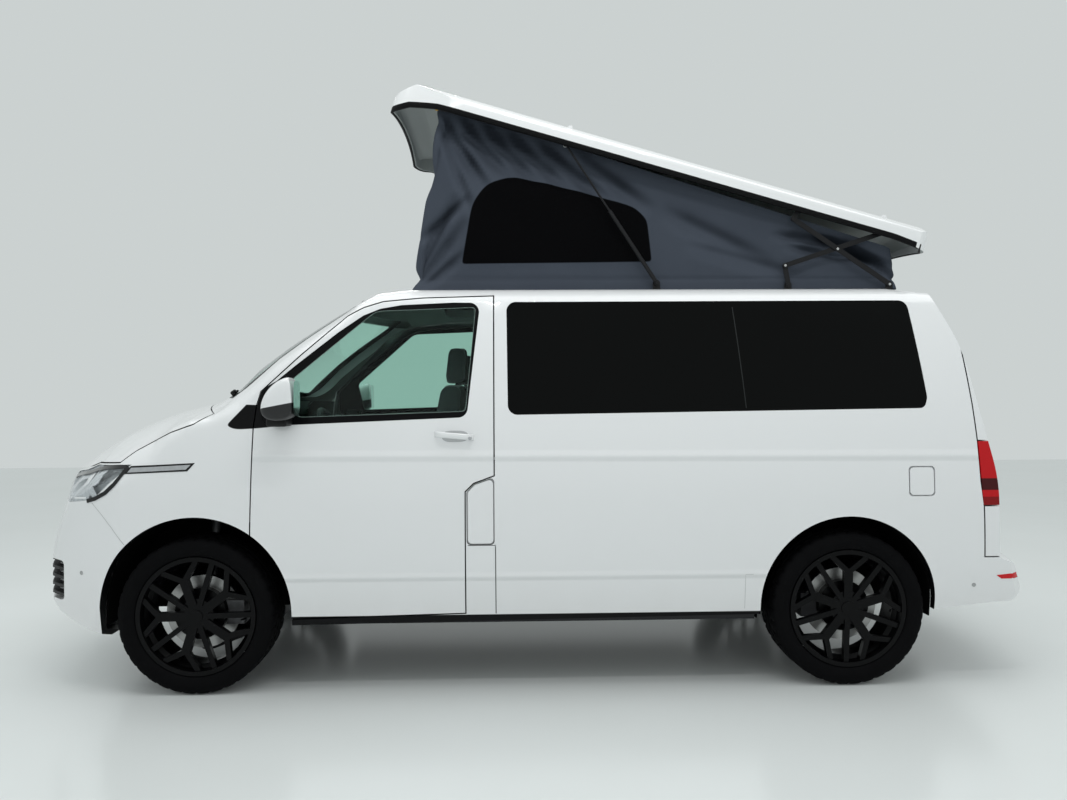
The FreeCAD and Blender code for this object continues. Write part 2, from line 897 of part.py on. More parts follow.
def door_glass():
    """Left door's pane; it lies deeper in the door than the bonded glass."""
    return glass_shell.common(window_prism(points_of(door_window_shares), seat_gap, left_span))


def tailgate_glass():
    return glass_shell.common(tail_window_prism(seat_gap))


# Outer panels
def roof_opening():
    x0 = -0.2 * half_length
    x1 = 0.3 * half_length
    y = 0.55 * half_width
    points = [(x0, -y), (x1, -y), (x1, y), (x0, y)]
    return plan_prism(points, 0.9 * roof_height, 1.2 * roof_height, 2 * screen_corner)


def roof_panel():
    panel = wall_shell.common(roof_region())
    panel = panel.cut(tailgate_region(0.0)).cut(bonnet_region())
    return panel.cut(screen_prism(0.0)).cut(roof_opening())


def bonnet():
    points = points_of(bonnet_line_shares)
    points = [(x, z + shut_gap) for x, z in points]
    points += [(points[-1][0], 1.2 * roof_height), (points[0][0], 1.2 * roof_height)]
    above = side_prism(points, -far_y, far_y)
    return wall_shell.common(above).common(cowl_region(cowl_front_x - shut_gap))


def wing_points():
    door = points_of(door_shares)
    top = 1.1 * roof_height
    return [(door[0][0], 0.0), door[1], door[2], door[3],
            (door[3][0], top), (-1.1 * half_length, top), (-1.1 * half_length, 0.0)]


def front_wings():
    """Both wings and the cowl between them."""
    ahead = side_prism(wing_points(), -far_y, far_y)
    wings = wall_shell.common(ahead).cut(bonnet_region()).cut(front_region())
    wings = wings.cut(lamp_region(0.0)).cut(grille_region(0.0)).cut(roof_region()).cut(screen_prism(0.0))
    return wings.fuse(bonnet_stop()).fuse(mirrored(bonnet_stop()))


def body_sides():
    behind = box(-0.55 * half_length, 1.1 * half_length, -far_y, far_y, 0.0, roof_height)
    sides = wall_shell.common(behind)
    sides = sides.cut(side_prism(wing_points(), -far_y, far_y)).cut(roof_region())
    sides = sides.cut(door_region(0.0).cut(notch_region(0.0))).cut(mirrored(door_region(0.0)))
    sides = sides.cut(side_prism(points_of(slide_door_shares), 0.5 * half_width, far_y))
    sides = sides.cut(tailgate_region(0.0)).cut(rear_bumper_region()).cut(tail_lamp_region(0.0))
    sides = sides.cut(window_prism(long_window(), 0.0, left_span))
    sides = sides.cut(window_prism(rear_pane_points(), 0.0, right_span))
    sides = sides.cut(flap_pocket(fuel_shares)).cut(flap_pocket(hookup_shares))
    stops = [flap_stop(fuel_shares), flap_stop(hookup_shares), tailgate_stop(), mirrored(tailgate_stop())]
    stops += [door_striker(), mirrored(door_striker())]
    for stop in stops:
        sides = sides.fuse(stop)
    return sides


def sliding_door():
    points = inset_points(points_of(slide_door_shares), seat_gap)
    door = wall_shell.common(side_prism(points, 0.5 * half_width, far_y)).cut(roof_region())
    return door.cut(window_prism(door_pane_points(), 0.0, right_span))


def front_door():
    """The left door, without the notch for the fuel flap."""
    door = wall_shell.common(door_region(shut_gap))
    return door.cut(window_prism(points_of(door_window_shares), 0.0, left_span))


# Flaps in the left side
hookup_shares = [(0.705, 0.534), (0.755, 0.534), (0.755, 0.461), (0.705, 0.461)]


def flap_pocket(shares):
    region = side_prism(points_of(shares), -far_y, -0.5 * half_width, flap_corner)
    return region.cut(moved(outer_form, 0.0, flap_wall + shut_gap, 0.0))


def flap_stop(shares):
    """Rubber buffer in the pocket that the closed flap lies on."""
    points = points_of(shares)
    x = (min(a for a, b in points) + max(a for a, b in points)) / 2
    z = (min(b for a, b in points) + max(b for a, b in points)) / 2
    post = Part.makeCylinder(stop_radius, panel_wall / 2, Vector(x, -half_width, z), Vector(0, 1, 0))
    return post.common(moved(outer_form, 0.0, flap_wall + seat_gap, 0.0))


def tailgate_stop():
    """Rubber buffer on the rear pillar that the closed tailgate lies on."""
    low = points_of(tail_line_shares)[5]
    high = points_of(tail_line_shares)[4]
    a = ((low[0] + high[0]) / 2, (low[1] + high[1]) / 2)
    reach = shut_gap - seat_gap
    y = half_width - panel_wall
    x, z = a
    block = box(x - stop_radius, x + 2 * reach, -y - stop_radius, -y + 0.1 * stop_radius, z - stop_radius,
                z + stop_radius)
    return block.cut(tailgate_region(reach))


def bonnet_stop():
    """Rubber buffer on the wing's edge that the closed bonnet lies on."""
    line_points = points_of(bonnet_line_shares)
    (x1, z1), (x2, z2) = line_points[5], line_points[6]
    z_mid = (z1 + z2) / 2
    x_mid = (x1 + x2) / 2
    slope = (z2 - z1) / (x2 - x1)
    low = -2 * stop_radius
    high = shut_gap - seat_gap
    front_z = z_mid - slope * stop_radius
    rear_z = z_mid + slope * stop_radius
    points = [(x_mid - stop_radius, front_z + low), (x_mid - stop_radius, front_z + high),
              (x_mid + stop_radius, rear_z + high), (x_mid + stop_radius, rear_z + low)]
    y = half_width - 2.6 * panel_wall
    return side_prism(points, -y, -y + stop_radius)


def door_striker():
    """Lock pin on the middle pillar that reaches the edge of the closed door."""
    edge = door_shares[-2][0] * half_length
    y = half_width - 0.5 * panel_wall
    start = edge - shut_gap + seat_gap
    return box(start, edge + stop_radius, -y, -y + stop_radius, striker_z, striker_z + stop_radius)


def flap(shares):
    region = side_prism(inset_points(points_of(shares), shut_gap), -far_y, -0.5 * half_width, flap_corner)
    return outer_form.common(region).cut(moved(outer_form, 0.0, flap_wall, 0.0))


def front_bumper():
    bumper = wall_shell.common(front_region())
    bumper = bumper.cut(lamp_region(0.0)).cut(grille_region(0.0)).cut(bonnet_region())
    bumper = bumper.cut(intake_region(0.0))
    for side in (-1, 1):
        bumper = bumper.cut(fog_region(side, 0.0))
    return bumper.cut(towing_hole())


def towing_hole():
    start = Vector(-1.1 * half_length, towing_y, towing_z)
    return Part.makeCylinder(towing_radius, 0.4 * half_length, start, Vector(1, 0, 0))


def intake_region(gap):
    low = 0.212 * roof_height + gap
    high = 0.318 * roof_height - gap
    y = 0.56 * half_width - gap
    points = [(-y, high), (y, high), (0.92 * y, low), (-0.92 * y, low)]
    return front_prism(points, -1.1 * half_length, -0.8 * half_length, slat_pitch / 2)


def fog_region(side, gap):
    low = 0.215 * roof_height + gap
    high = 0.312 * roof_height - gap
    outer = 0.84 * half_width - gap
    points = [(0.64 * half_width + gap, low), (0.62 * half_width + gap, high), (outer, high), (outer, low)]
    points = [(side * y, z) for y, z in points]
    return front_prism(points, -1.1 * half_length, -0.8 * half_length, slat_pitch / 2)


def slatted(wall, region, low, high):
    """Level slats inside a region of the wall, joined by a thin border."""
    shapes = []
    z = low + slat_pitch / 2
    while z < high:
        bar = box(-1.1 * half_length, 0.0, -far_y, far_y, z, z + slat_height)
        shapes.append(wall.common(region).common(bar))
        z += slat_pitch
    return shapes


def grille():
    """Upper grille between the lamps and the slatted openings of the bumper."""
    wall = outer_form.cut(body_form(panel_wall / 2, inner_bottom))
    upper = wall.common(grille_region(seat_gap))
    slots = slatted(wall, grille_region(slat_height), 0.456 * roof_height, 0.516 * roof_height)
    for slot in slots:
        upper = upper.cut(slot)
    lower = slatted(wall, intake_region(seat_gap), 0.212 * roof_height, 0.318 * roof_height)
    for side in (-1, 1):
        lower += slatted(wall, fog_region(side, seat_gap), 0.215 * roof_height, 0.312 * roof_height)
    return Part.makeCompound(upper.Solids + [s for shape in lower for s in shape.Solids])


def rear_bumper():
    bumper = wall_shell.common(rear_bumper_region())
    return bumper


def tailgate():
    gate = wall_shell.common(tailgate_region(shut_gap)).cut(tail_lamp_region(-shut_gap))
    return gate.cut(tail_window_prism(0.0))


def headlamps():
    return glass_shell.common(lamp_region(seat_gap))


def lamp_housings():
    """Lamp bodies behind the lenses, with two bowls in each."""
    wall = glass_back_form.cut(inner_form)
    housing = wall.common(lamp_region(seat_gap))
    for side in (-1, 1):
        for share in (0.62, 0.8):
            start = Vector(-1.05 * half_length, side * share * half_width, 0.49 * roof_height)
            housing = housing.cut(Part.makeCylinder(lamp_bowl_radius, half_length, start, Vector(1, 0, 0)))
    return housing


def tail_lamps():
    return wall_shell.common(tail_lamp_region(seat_gap))


# Mirrors: the left one
mirror_x = -0.465 * half_length
mirror_low = 0.65 * roof_height
mirror_high = 0.756 * roof_height


def mirror():
    head = front_prism(
        [(-mirror_tip, mirror_high), (-mirror_root, mirror_high), (-mirror_root, mirror_low),
         (-mirror_tip, mirror_low)],
        mirror_x - mirror_depth / 2, mirror_x + mirror_depth / 2, mirror_round)
    mid_z = (mirror_low + mirror_high) / 2
    centre = Vector(mirror_x + mirror_depth / 2, -(mirror_tip + mirror_root) / 2, mid_z)
    bulge = Part.makeSphere(1.12 * mirror_depth, centre)
    head = head.common(bulge)
    outer = -mirror_root - mirror_round
    foot = box(mirror_x - mirror_round, mirror_x + mirror_round, outer, -0.9 * half_width,
               mirror_low + seat_gap, mirror_low + mirror_round)
    foot = foot.cut(outer_form)
    return fused([head, foot])


# Floor and frame
bulkhead_top = 0.64 * roof_height
member_shares = [-0.4, 0.0, 0.35, 0.84]


def floor_pan():
    """Floor, step wells, sills and the bulkhead."""
    rear_x = floor_rear_share * half_length
    tail = box(rear_arch_start, rear_x, -far_y, far_y, floor_low, floor_high)
    shapes = [box(bulkhead_x, rear_x, -well_y, well_y, floor_low, floor_high), tail.common(inner_form)]
    for side in (-1, 1):
        walls = span(side, well_y, well_y + sheet_wall)
        well = box(front_arch_end, rear_arch_start, *walls, sill_low, floor_high)
        sill = box(front_arch_end, rear_arch_start, *span(side, well_y, far_y), sill_low, sill_high)
        shapes += [well, sill.common(inner_form)]
    wall = box(bulkhead_x, bulkhead_x + sheet_wall, -far_y, far_y, rail_low + sheet_wall, bulkhead_top)
    shapes.append(wall.common(inner_form))
    return clear_of_arches(fused(shapes).cut(chassis_frame()))


def chassis_frame():
    """Chassis rails, their cross-members and the beam behind the front bumper."""
    shapes = []
    for side in (-1, 1):
        rail = box(rail_front_share * half_length, rail_rear_share * half_length,
                   *span(side, rail_inner_y, rail_outer_y), rail_low, floor_low)
        shapes.append(rail.common(cabin_form))
    for share in member_shares:
        x = share * half_length
        rear = x + rail_outer_y - rail_inner_y
        shapes.append(box(x, rear, -rail_outer_y, rail_outer_y, rail_low + sheet_wall, floor_low))
    y = beam_share * half_width
    front = box(beam_front_share * half_length, beam_rear_share * half_length, -y, y, rail_low, floor_low)
    shapes.append(front.common(inner_form))
    return clear_of_arches(fused(shapes))


def clear_of_arches(shape):
    for arch in all_arches(liner_wall + seat_gap):
        shape = shape.cut(arch)
    return shape


def span(side, inner, outer):
    return (inner, outer) if side > 0 else (-outer, -inner)


front_arch_end = front_axle_x + 1.04 * front_arch_radius
rear_arch_start = rear_axle_x - 1.04 * rear_arch_radius


def arch_liners():
    low = box(-half_length, half_length, -far_y, far_y, 0.0, sill_low)
    liners = [a.cut(b).common(cabin_form).cut(low) for a, b in zip(all_arches(liner_wall), all_arches(0.0))]
    cup = strut_cup()
    cups = [cup, mirrored(cup)]
    front = [fused(liner.Solids + [cup]) for liner, cup in zip(liners[:2], cups)]
    return Part.makeCompound(front + liners[2:])


# Front suspension: upright with a strut on an inclined steering axis
kingpin_low = Vector(front_axle_x, -kingpin_low_y, kingpin_low_z)
kingpin_high = Vector(front_axle_x, -kingpin_high_y, kingpin_high_z)
kingpin_dir = (kingpin_high - kingpin_low).normalize()


def kingpin_at(z):
    return kingpin_low + kingpin_dir * ((z - kingpin_low.z) / kingpin_dir.z)


def strut_cup():
    start = kingpin_at(strut_top_z) + kingpin_dir * seat_gap
    return Part.makeCylinder(1.6 * strut_radius, 0.9 * strut_radius, start, kingpin_dir)


def axle_cylinder(x, radius, y0, y1):
    return Part.makeCylinder(radius, y1 - y0, Vector(x, -y1, axle_z), Vector(0, 1, 0))


def caliper(x, direction):
    """Block over the rim of the brake disc with a slot for it."""
    x0 = x + direction * 0.6 * disc_radius
    x1 = x + direction * 1.15 * disc_radius
    inner = -disc_inner_y + 6 * play
    outer = -disc_outer_y - 4 * play
    block = box(min(x0, x1), max(x0, x1), outer, inner, axle_z - hub_radius, axle_z + hub_radius)
    slot = axle_cylinder(x, disc_radius + play, disc_inner_y - play, disc_outer_y + play)
    hat = axle_cylinder(x, hat_radius + play, disc_outer_y, pad_outer_y)
    return block.cut(slot).cut(hat)


def hub(x):
    body = axle_cylinder(x, hub_radius, knuckle_inner_y, pad_inner_y - 2 * hat_wall)
    spindle = axle_cylinder(x, spindle_radius, pad_inner_y - 2 * hat_wall, pad_outer_y - hat_wall)
    return [body, spindle]


def caliper_bracket(x0, x1):
    outer = -knuckle_inner_y - hub_radius
    return box(x0, x1, outer, -knuckle_inner_y - play, axle_z - hub_radius / 2, axle_z + hub_radius / 2)


def knuckle():
    """Left upright with its hub, strut, spring seat and brake caliper."""
    outline = [(-knuckle_inner_y + 2 * hub_radius, axle_z + 3 * hub_radius),
               (-knuckle_inner_y - hub_radius, axle_z + hub_radius),
               (-kingpin_low_y - strut_radius, kingpin_low_z),
               (-kingpin_low_y + 1.4 * strut_radius, kingpin_low_z),
               (-knuckle_inner_y + hub_radius, axle_z)]
    upright = front_prism(outline, front_axle_x - hub_radius / 2, front_axle_x + hub_radius / 2)
    strut = tube_between(kingpin_at(axle_z + hub_radius), kingpin_at(strut_top_z), strut_radius)
    seat_low = kingpin_at(0.72 * strut_top_z)
    spring_seat = tube_between(seat_low, kingpin_at(0.74 * strut_top_z), 2 * strut_radius)
    shapes = hub(front_axle_x) + [upright, strut, spring_seat, caliper(front_axle_x, 1)]
    return fused(shapes + [caliper_bracket(front_axle_x, front_axle_x + disc_radius)])


def clear_of_liners(shape):
    """Cut a slot in the arch liners' inner walls' place for what passes through."""
    return shape.cut(arch_liners())


# Cross-frame and lower arms at the front, and the beam with trailing arms at the rear


def front_subframe():
    """Cross-frame with the lower arms that carry the uprights."""
    x = front_axle_x
    front = x - frame_front_reach
    frame = box(front, x + frame_rear_reach, -rail_outer_y, rail_outer_y, frame_low, rail_low)
    hollow = box(x - hollow_front_reach, x + arm_rear_reach, -rail_inner_y, rail_inner_y, 0.0, roof_height)
    root = -rail_inner_y
    tip = -kingpin_low_y - strut_radius
    points = [(x - strut_radius, tip), (x + strut_radius, tip), (x + arm_rear_reach, root),
              (x - arm_front_reach, root)]
    arm = plan_prism(points, arm_mid_z - arm_half_height, arm_mid_z + arm_half_height, strut_radius)
    post = box(x - arm_front_reach, x + arm_rear_reach, -rail_outer_y, root, arm_mid_z, arm_post_top)
    shapes = [frame.cut(hollow), arm, post, mirrored(arm), mirrored(post)]
    return fused(shapes).cut(exhaust_pipe(play))


def trailing_arm():
    """Left trailing arm with its hub, post and brake caliper."""
    x = rear_axle_x
    outer = -knuckle_inner_y - hub_radius
    points = [(x - beam_front_reach, -rail_outer_y - strut_radius),
              (x - beam_front_reach, -rail_outer_y - beam_overhang),
              (x - hub_radius, outer + hub_radius / 2), (x + hub_radius, outer + hub_radius / 2),
              (x + hub_radius, -knuckle_inner_y + hub_radius)]
    arm = plan_prism(points, trailing_low, rail_low)
    post = box(x - hub_radius, x + hub_radius, outer, -knuckle_inner_y, trailing_low, axle_z + hub_radius)
    return fused(hub(x) + [arm, post, caliper(x, -1), caliper_bracket(x - disc_radius, x)])


def rear_axle():
    """Cross-beam, trailing arms, hubs and brake blocks of the rear wheels."""
    reach = rail_outer_y + beam_overhang
    front = rear_axle_x - beam_front_reach
    beam = box(front, rear_axle_x - beam_rear_reach, -reach, reach, beam_low, rail_low)
    arm = trailing_arm()
    return clear_of_liners(fused([beam, arm, mirrored(arm)]).cut(exhaust_pipe(play)))


# Wheels: the left one at an axle
fork_radius = 0.66 * rim_radius


def ring(profile, x):
    """Closed profile of (distance from the middle plane, radius) turned round the axle."""
    points = [Vector(x, -w, axle_z + r) for w, r in profile]
    edges = [line(points[k - 1], points[k]) for k in range(len(points))]
    face = Part.Face(Part.Wire(Part.sortEdges(edges)[0]))
    return face.revolve(Vector(x, 0, axle_z), Vector(0, 1, 0), 360)


def tyre(x):
    low = half_track - tyre_half_width
    high = half_track + tyre_half_width
    bore = rim_radius + seat_gap
    return ring([(low, bore), (high, bore), (high, tyre_radius - shoulder_height),
                 (high - shoulder_height, tyre_radius), (low, tyre_radius)], x)


def spoke_bar(x, r0, a0, r1, a1, width):
    """Flat bar between two polar points of the wheel's outer face."""
    start = (x + r0 * math.cos(math.radians(a0)), axle_z + r0 * math.sin(math.radians(a0)))
    end = (x + r1 * math.cos(math.radians(a1)), axle_z + r1 * math.sin(math.radians(a1)))
    dx = end[0] - start[0]
    dz = end[1] - start[1]
    long = math.hypot(dx, dz)
    nx = -dz / long * width / 2
    nz = dx / long * width / 2
    points = [(start[0] + nx, start[1] + nz), (end[0] + nx, end[1] + nz), (end[0] - nx, end[1] - nz),
              (start[0] - nx, start[1] - nz)]
    face_y = rim_outer_y - rim_wall
    return side_prism(points, -face_y, -face_y + spoke_depth)


def barrel(x):
    """Rim well and its flanges, as a wall round the axle."""
    inner = rim_inner_y
    outer = rim_outer_y
    outside = [(inner, rim_radius), (inner + rim_wall, rim_radius), (inner + 2 * rim_wall, rim_step_radius),
               (well_inner_y - well_slope, rim_step_radius), (well_inner_y, well_radius),
               (well_outer_y, well_radius), (well_outer_y + well_slope, rim_step_radius),
               (outer - 2 * rim_wall, rim_step_radius), (outer - rim_wall, rim_radius), (outer, rim_radius)]
    inside = [(outer, lip_radius), (well_outer_y + well_slope, rim_step_radius - rim_wall),
              (well_outer_y, well_radius - rim_wall), (well_inner_y, well_radius - rim_wall),
              (well_inner_y - well_slope, rim_step_radius - rim_wall), (inner, lip_radius)]
    return ring(outside + inside, x)


def rim(x, first_angle):
    """Rim with forked and single spokes, its centre, brake disc and hub bore."""
    shapes = [barrel(x)]
    reach = 0.93 * rim_radius
    step = math.degrees(2 * math.pi) / spoke_count
    fork_start = fork_radius - arm_width / 2
    for k in range(spoke_count):
        angle = first_angle + k * step
        shapes.append(spoke_bar(x, cap_radius, angle, fork_radius, angle, spoke_width))
        for side in (-1, 1):
            fork_angle = angle + side * fork_half_angle
            shapes.append(spoke_bar(x, fork_start, angle, reach, fork_angle, arm_width))
        middle = angle + step / 2
        shapes.append(spoke_bar(x, cap_radius, middle, reach, middle, arm_width))
    pad = axle_cylinder(x, 2.6 * cap_radius, pad_inner_y - rim_wall, rim_outer_y - 2 * rim_wall)
    cap = axle_cylinder(x, cap_radius, pad_inner_y, rim_outer_y - rim_wall / 2)
    disc = axle_cylinder(x, disc_radius, disc_inner_y, disc_outer_y)
    hat = axle_cylinder(x, hat_radius, disc_outer_y, pad_inner_y)
    hollow = axle_cylinder(x, hat_radius - hat_wall, disc_inner_y - play, pad_inner_y - hat_wall)
    bore = axle_cylinder(x, spindle_radius + seat_gap, disc_inner_y, pad_outer_y - hat_wall + seat_gap)
    body = fused(shapes + [pad, cap, disc, hat])
    return body.cut(hollow).cut(bore)


# Drive: one block for the engine, and the exhaust under the floor
engine_front_x = front_axle_x - 580.0
engine_rear_x = front_axle_x - 60.0
pipe_start_x = front_axle_x - 75.0


def engine_block():
    low = box(engine_front_x, engine_rear_x, -engine_half, engine_half, engine_low, engine_mid)
    inset = 2 * flange_half
    head_rear = engine_rear_x - flange_half
    head = box(engine_front_x + inset, head_rear, -engine_half, engine_half - inset, engine_mid, engine_top)
    return fused([low, head])


def exhaust_pipe(extra):
    start = Vector(pipe_start_x, pipe_y, pipe_z)
    return tube_between(start, Vector(silencer_front_x + play, pipe_y, pipe_z), pipe_radius + extra)


def exhaust():
    """Silencer under the tail, its outlet and the pipe from the engine."""
    front = silencer_front_x
    rear = silencer_rear_x
    outline = [(front, silencer_y0), (rear, silencer_y0), (rear, silencer_y1), (front, silencer_y1)]
    silencer = plan_prism(outline, silencer_low, silencer_high, silencer_round)
    flange_x = pipe_start_x - flange_depth / 2
    flange = box(flange_x, flange_x + flange_depth, pipe_y - flange_half, pipe_y + flange_half,
                 pipe_z - flange_half, engine_low - seat_gap)
    tail = tube_between(Vector(silencer_rear_x - flange_depth, outlet_y, pipe_z + pipe_radius),
                        Vector(outlet_x, outlet_y, pipe_z), outlet_radius)
    hanger = box(hanger_x, hanger_x + flange_half, silencer_y1 - flange_depth / 2, rail_inner_y - seat_gap,
                 rail_low + flange_depth, silencer_high)
    return fused([silencer, exhaust_pipe(0.0), flange, tail, hanger])


# Dashboard and steering wheel
dash_shares = [(-0.612, 0.3255), (-0.612, 0.588), (-0.567, 0.6247), (-0.4853, 0.6142), (-0.4527, 0.5669),
               (-0.469, 0.4514), (-0.5302, 0.336)]
hood_shares = [(-0.5302, 0.6037), (-0.4568, 0.588), (-0.4608, 0.6299), (-0.4894, 0.643)]
wheel_centre = Vector(-985.0, -420.0, 1130.0)
wheel_tilt = Vector(0.86, 0.0, 0.51)


def dashboard():
    """Dash across the cabin, with a hump over the instruments."""
    dash = side_prism(points_of(dash_shares), -dash_half, dash_half, dash_round)
    hood = side_prism(points_of(hood_shares), -hood_outer_y, -hood_inner_y, hood_round)
    ahead = box(-half_length, bulkhead_x + sheet_wall, -far_y, far_y, 0.0, bulkhead_top)
    return clear_of_arches(fused([dash, hood]).common(cabin_form).cut(ahead))


def grip():
    """Rim of the steering wheel: an even-sided section turned about the column."""
    across = wheel_tilt.cross(Vector(0, 1, 0)).normalize()
    normal = Vector(wheel_tilt).normalize()
    points = []
    for k in range(grip_sides):
        angle = 2 * math.pi * (k + 0.5) / grip_sides
        out = grip_radius + grip_thickness * math.cos(angle)
        points.append(wheel_centre + across * out + normal * (grip_thickness * math.sin(angle)))
    edges = [line(points[k - 1], points[k]) for k in range(grip_sides)]
    return Part.Face(Part.Wire(edges)).revolve(wheel_centre, normal, 360)


def steering_wheel():
    """Rim, spokes and column of the driver's wheel on the left."""
    boss_start = wheel_centre - wheel_tilt * (0.6 * wheel_boss_depth)
    shapes = [grip(), Part.makeCylinder(wheel_boss_radius, wheel_boss_depth, boss_start, wheel_tilt)]
    across = Vector(0, 1, 0)
    up = wheel_tilt.cross(across)
    for way in (across, across * -1.0, up * -1.0):
        shapes.append(Part.makeCylinder(wheel_spoke_radius, grip_radius, wheel_centre, way))
    column_start = wheel_centre - wheel_tilt * (wheel_boss_depth / 2)
    shapes.append(Part.makeCylinder(column_radius, column_length, column_start, wheel_tilt * -1.0))
    return fused(shapes).cut(dashboard())


# Seats: outlines in the side view, as shares of half_length and roof_height from the seat's place
cushion_shares = [(-0.106, 0.3753), (-0.1101, 0.4357), (0.0938, 0.42), (0.0938, 0.3753)]
back_shares = [(0.053, 0.4042), (0.106, 0.7349), (0.1468, 0.7349), (0.1101, 0.378)]
head_shares = [(0.1101, 0.7454), (0.1183, 0.8346), (0.1509, 0.8346), (0.1509, 0.7454)]
bench_cushion_shares = [(-0.1223, 0.4147), (-0.1223, 0.4724), (0.102, 0.4619), (0.102, 0.4147)]
bench_back_shares = [(0.0693, 0.4462), (0.1223, 0.7874), (0.1631, 0.7874), (0.1264, 0.4147)]


def shifted(shares, x_share):
    return points_of([(sx + x_share, sz) for sx, sz in shares])


def seat(y):
    """Seat on a box: cushion, leaning back and head restraint."""
    x = seat_x_share * half_length
    base = box(x - seat_base_half_x, x + seat_base_half_x, y - seat_base_half_y, y + seat_base_half_y,
               floor_high, seat_base_top)
    cushion = side_prism(shifted(cushion_shares, seat_x_share), y - seat_half, y + seat_half, cushion_round)
    back = side_prism(shifted(back_shares, seat_x_share), y - back_half, y + back_half, cushion_round)
    head = side_prism(shifted(head_shares, seat_x_share), y - head_half, y + head_half, head_round)
    post_x = (seat_x_share + post_x_share) * half_length
    low = post_low_share * roof_height
    high = post_high_share * roof_height
    posts = [tube_between(Vector(post_x, y + dy, low), Vector(post_x, y + dy, high), post_radius)
             for dy in (-post_half, post_half)]
    return fused([base, cushion, back, head] + posts)


def front_seats():
    return pair(seat(-seat_y))


def rear_bench():
    """Bench with a box under its cushion and a leaning back."""
    x = bench_x_share * half_length
    base = box(x - bench_base_front, x + bench_base_rear, bench_y0 + bench_inset, bench_y1 - bench_inset,
               floor_high, bench_base_top)
    cushion = side_prism(shifted(bench_cushion_shares, bench_x_share), bench_y0, bench_y1, cushion_round)
    back = side_prism(shifted(bench_back_shares, bench_x_share), bench_y0, bench_y1, cushion_round)
    return fused([base, cushion, back])


# Kitchen along the left wall
kitchen_front_x = -0.02 * half_length
kitchen_rear_x = 0.8 * half_length
drawer_shares = [0.1, 0.3, 0.5]


def kitchen_unit():
    """Low cupboards and worktop along the left wall behind the driver."""
    x0 = kitchen_front_x
    x1 = kitchen_rear_x
    low = box(x0, x1, -far_y, -kitchen_face_y, floor_high + seat_gap, worktop_low)
    top = box(x0 - worktop_lip, x1, -far_y, -worktop_face_y, worktop_low, worktop_high)
    unit = fused([low, top]).common(inner_form)
    for share in drawer_shares:
        x = share * half_length
        groove = box(x, x + drawer_gap, -kitchen_face_y - drawer_depth, -kitchen_face_y + drawer_depth,
                     floor_high + drawer_margin, worktop_low - drawer_margin / 2)
        unit = unit.cut(groove)
    return clear_of_arches(unit)


# Pop-up roof: its side view is given closed and then turned up about the pole
pole = Vector(pole_x, 0.0, pole_z)
shell_plan_radii = [150.0, 500.0, 90.0, 90.0, 500.0, 150.0]


def lifted(shape):
    return turned(shape, pole, Vector(0, 1, 0), roof_lift)


def roof_plan(inset, z0, z1):
    y = shell_half_width - inset
    x0 = shell_nose_x + inset
    x1 = shell_tail_x - inset
    bend = x0 + 0.35 * y
    points = [(x0, -0.82 * y), (bend, -y), (x1, -y), (x1, y), (bend, y), (x0, 0.82 * y)]
    return plan_prism(points, z0, z1, shell_plan_radii)


def shell_section(inset, low, edge):
    """Cross profile of the roof shell, from nose to tail."""
    y = shell_half_width
    side = rail_z + shell_side_height
    shoulder_z = rail_z + shell_shoulder_height
    peak = rail_z + shell_crest + crown_rise
    inner = 0.9 * y
    points = [(-y, low), (-y, side), (-inner, shoulder_z), (0.0, peak)]
    points += [(inner, shoulder_z), (y, side), (y, low)]
    radii = [0.0, edge, shell_shoulder_round, shell_top_round, shell_shoulder_round, edge, 0.0]
    return front_prism(inset_points(points, inset), shell_nose_x, shell_tail_x, radii)


def shell_block(inset, low, edge):
    """Roof shell as a solid, with its crown across and its falling ends."""
    top = rail_z + shell_crest
    end_z = rail_z + shell_end_height
    points = [(shell_nose_x, low), (shell_nose_x + crown_rise / 2, end_z),
              (shell_nose_x + shell_nose_length, top - crown_rise), (0.4 * shell_tail_x, top + crown_rise),
              (shell_tail_x - shell_tail_length, top - 2 * crown_rise), (shell_tail_x, end_z),
              (shell_tail_x, low)]
    radii = [0.0, shell_shoulder_round, shell_nose_round, shell_back_round, shell_shoulder_round]
    radii += [shell_edge_round, 0.0]
    reach = shell_half_width + seat_gap
    along = side_prism(inset_points(points, inset), -reach, reach, radii)
    return shell_section(inset, low, edge).common(along).common(roof_plan(inset, low, top + overrun))


def shell_closed():
    low = rail_z - shell_skirt
    body = shell_block(0.0, low, shell_edge_round).cut(shell_block(shell_wall, low - overrun, 0.0))
    return body.cut(moved(outer_form, 0.0, 0.0, roof_clear))


def pop_roof_shell():
    """Shell with the ears and pins that carry the links and the gas struts."""
    shell = lifted(shell_closed())
    wall_y = shell_half_width - shell_wall + pin_end
    ears = [roof_ear(link_b_root, ear_b_y), roof_ear(strut_head, strut_ear_y)]
    ears.append(pin(link_b_root, ear_b_y, link_b_y + link_wall + pin_end))
    ears.append(boss(link_s2_root, link_s2_y + link_wall + 2 * pin_end, wall_y))
    ears.append(pin(link_s2_root, link_s2_y - pin_end, wall_y))
    for ear in ears:
        shell = shell.fuse(ear).fuse(mirrored(ear))
    return shell


# Scissor links, their pins and the gas strut: places with the roof raised
link_a_root = Vector(link_a_root_x, 0.0, link_a_root_z)
link_a_end = Vector(link_a_end_x, 0.0, link_a_end_z)
link_b_root = Vector(link_b_root_x, 0.0, link_b_root_z)
link_b_end = Vector(link_b_end_x, 0.0, link_b_end_z)
link_s1_root = Vector(link_s1_root_x, 0.0, link_s1_root_z)
link_s2_root = Vector(link_s2_root_x, 0.0, link_s2_root_z)
strut_foot = Vector(strut_foot_x, 0.0, strut_foot_z)
strut_head = Vector(strut_head_x, 0.0, strut_head_z)

# Planes of the links, counted outwards from the middle of the van


def at_y(point, y):
    return Vector(point.x, -y, point.z)


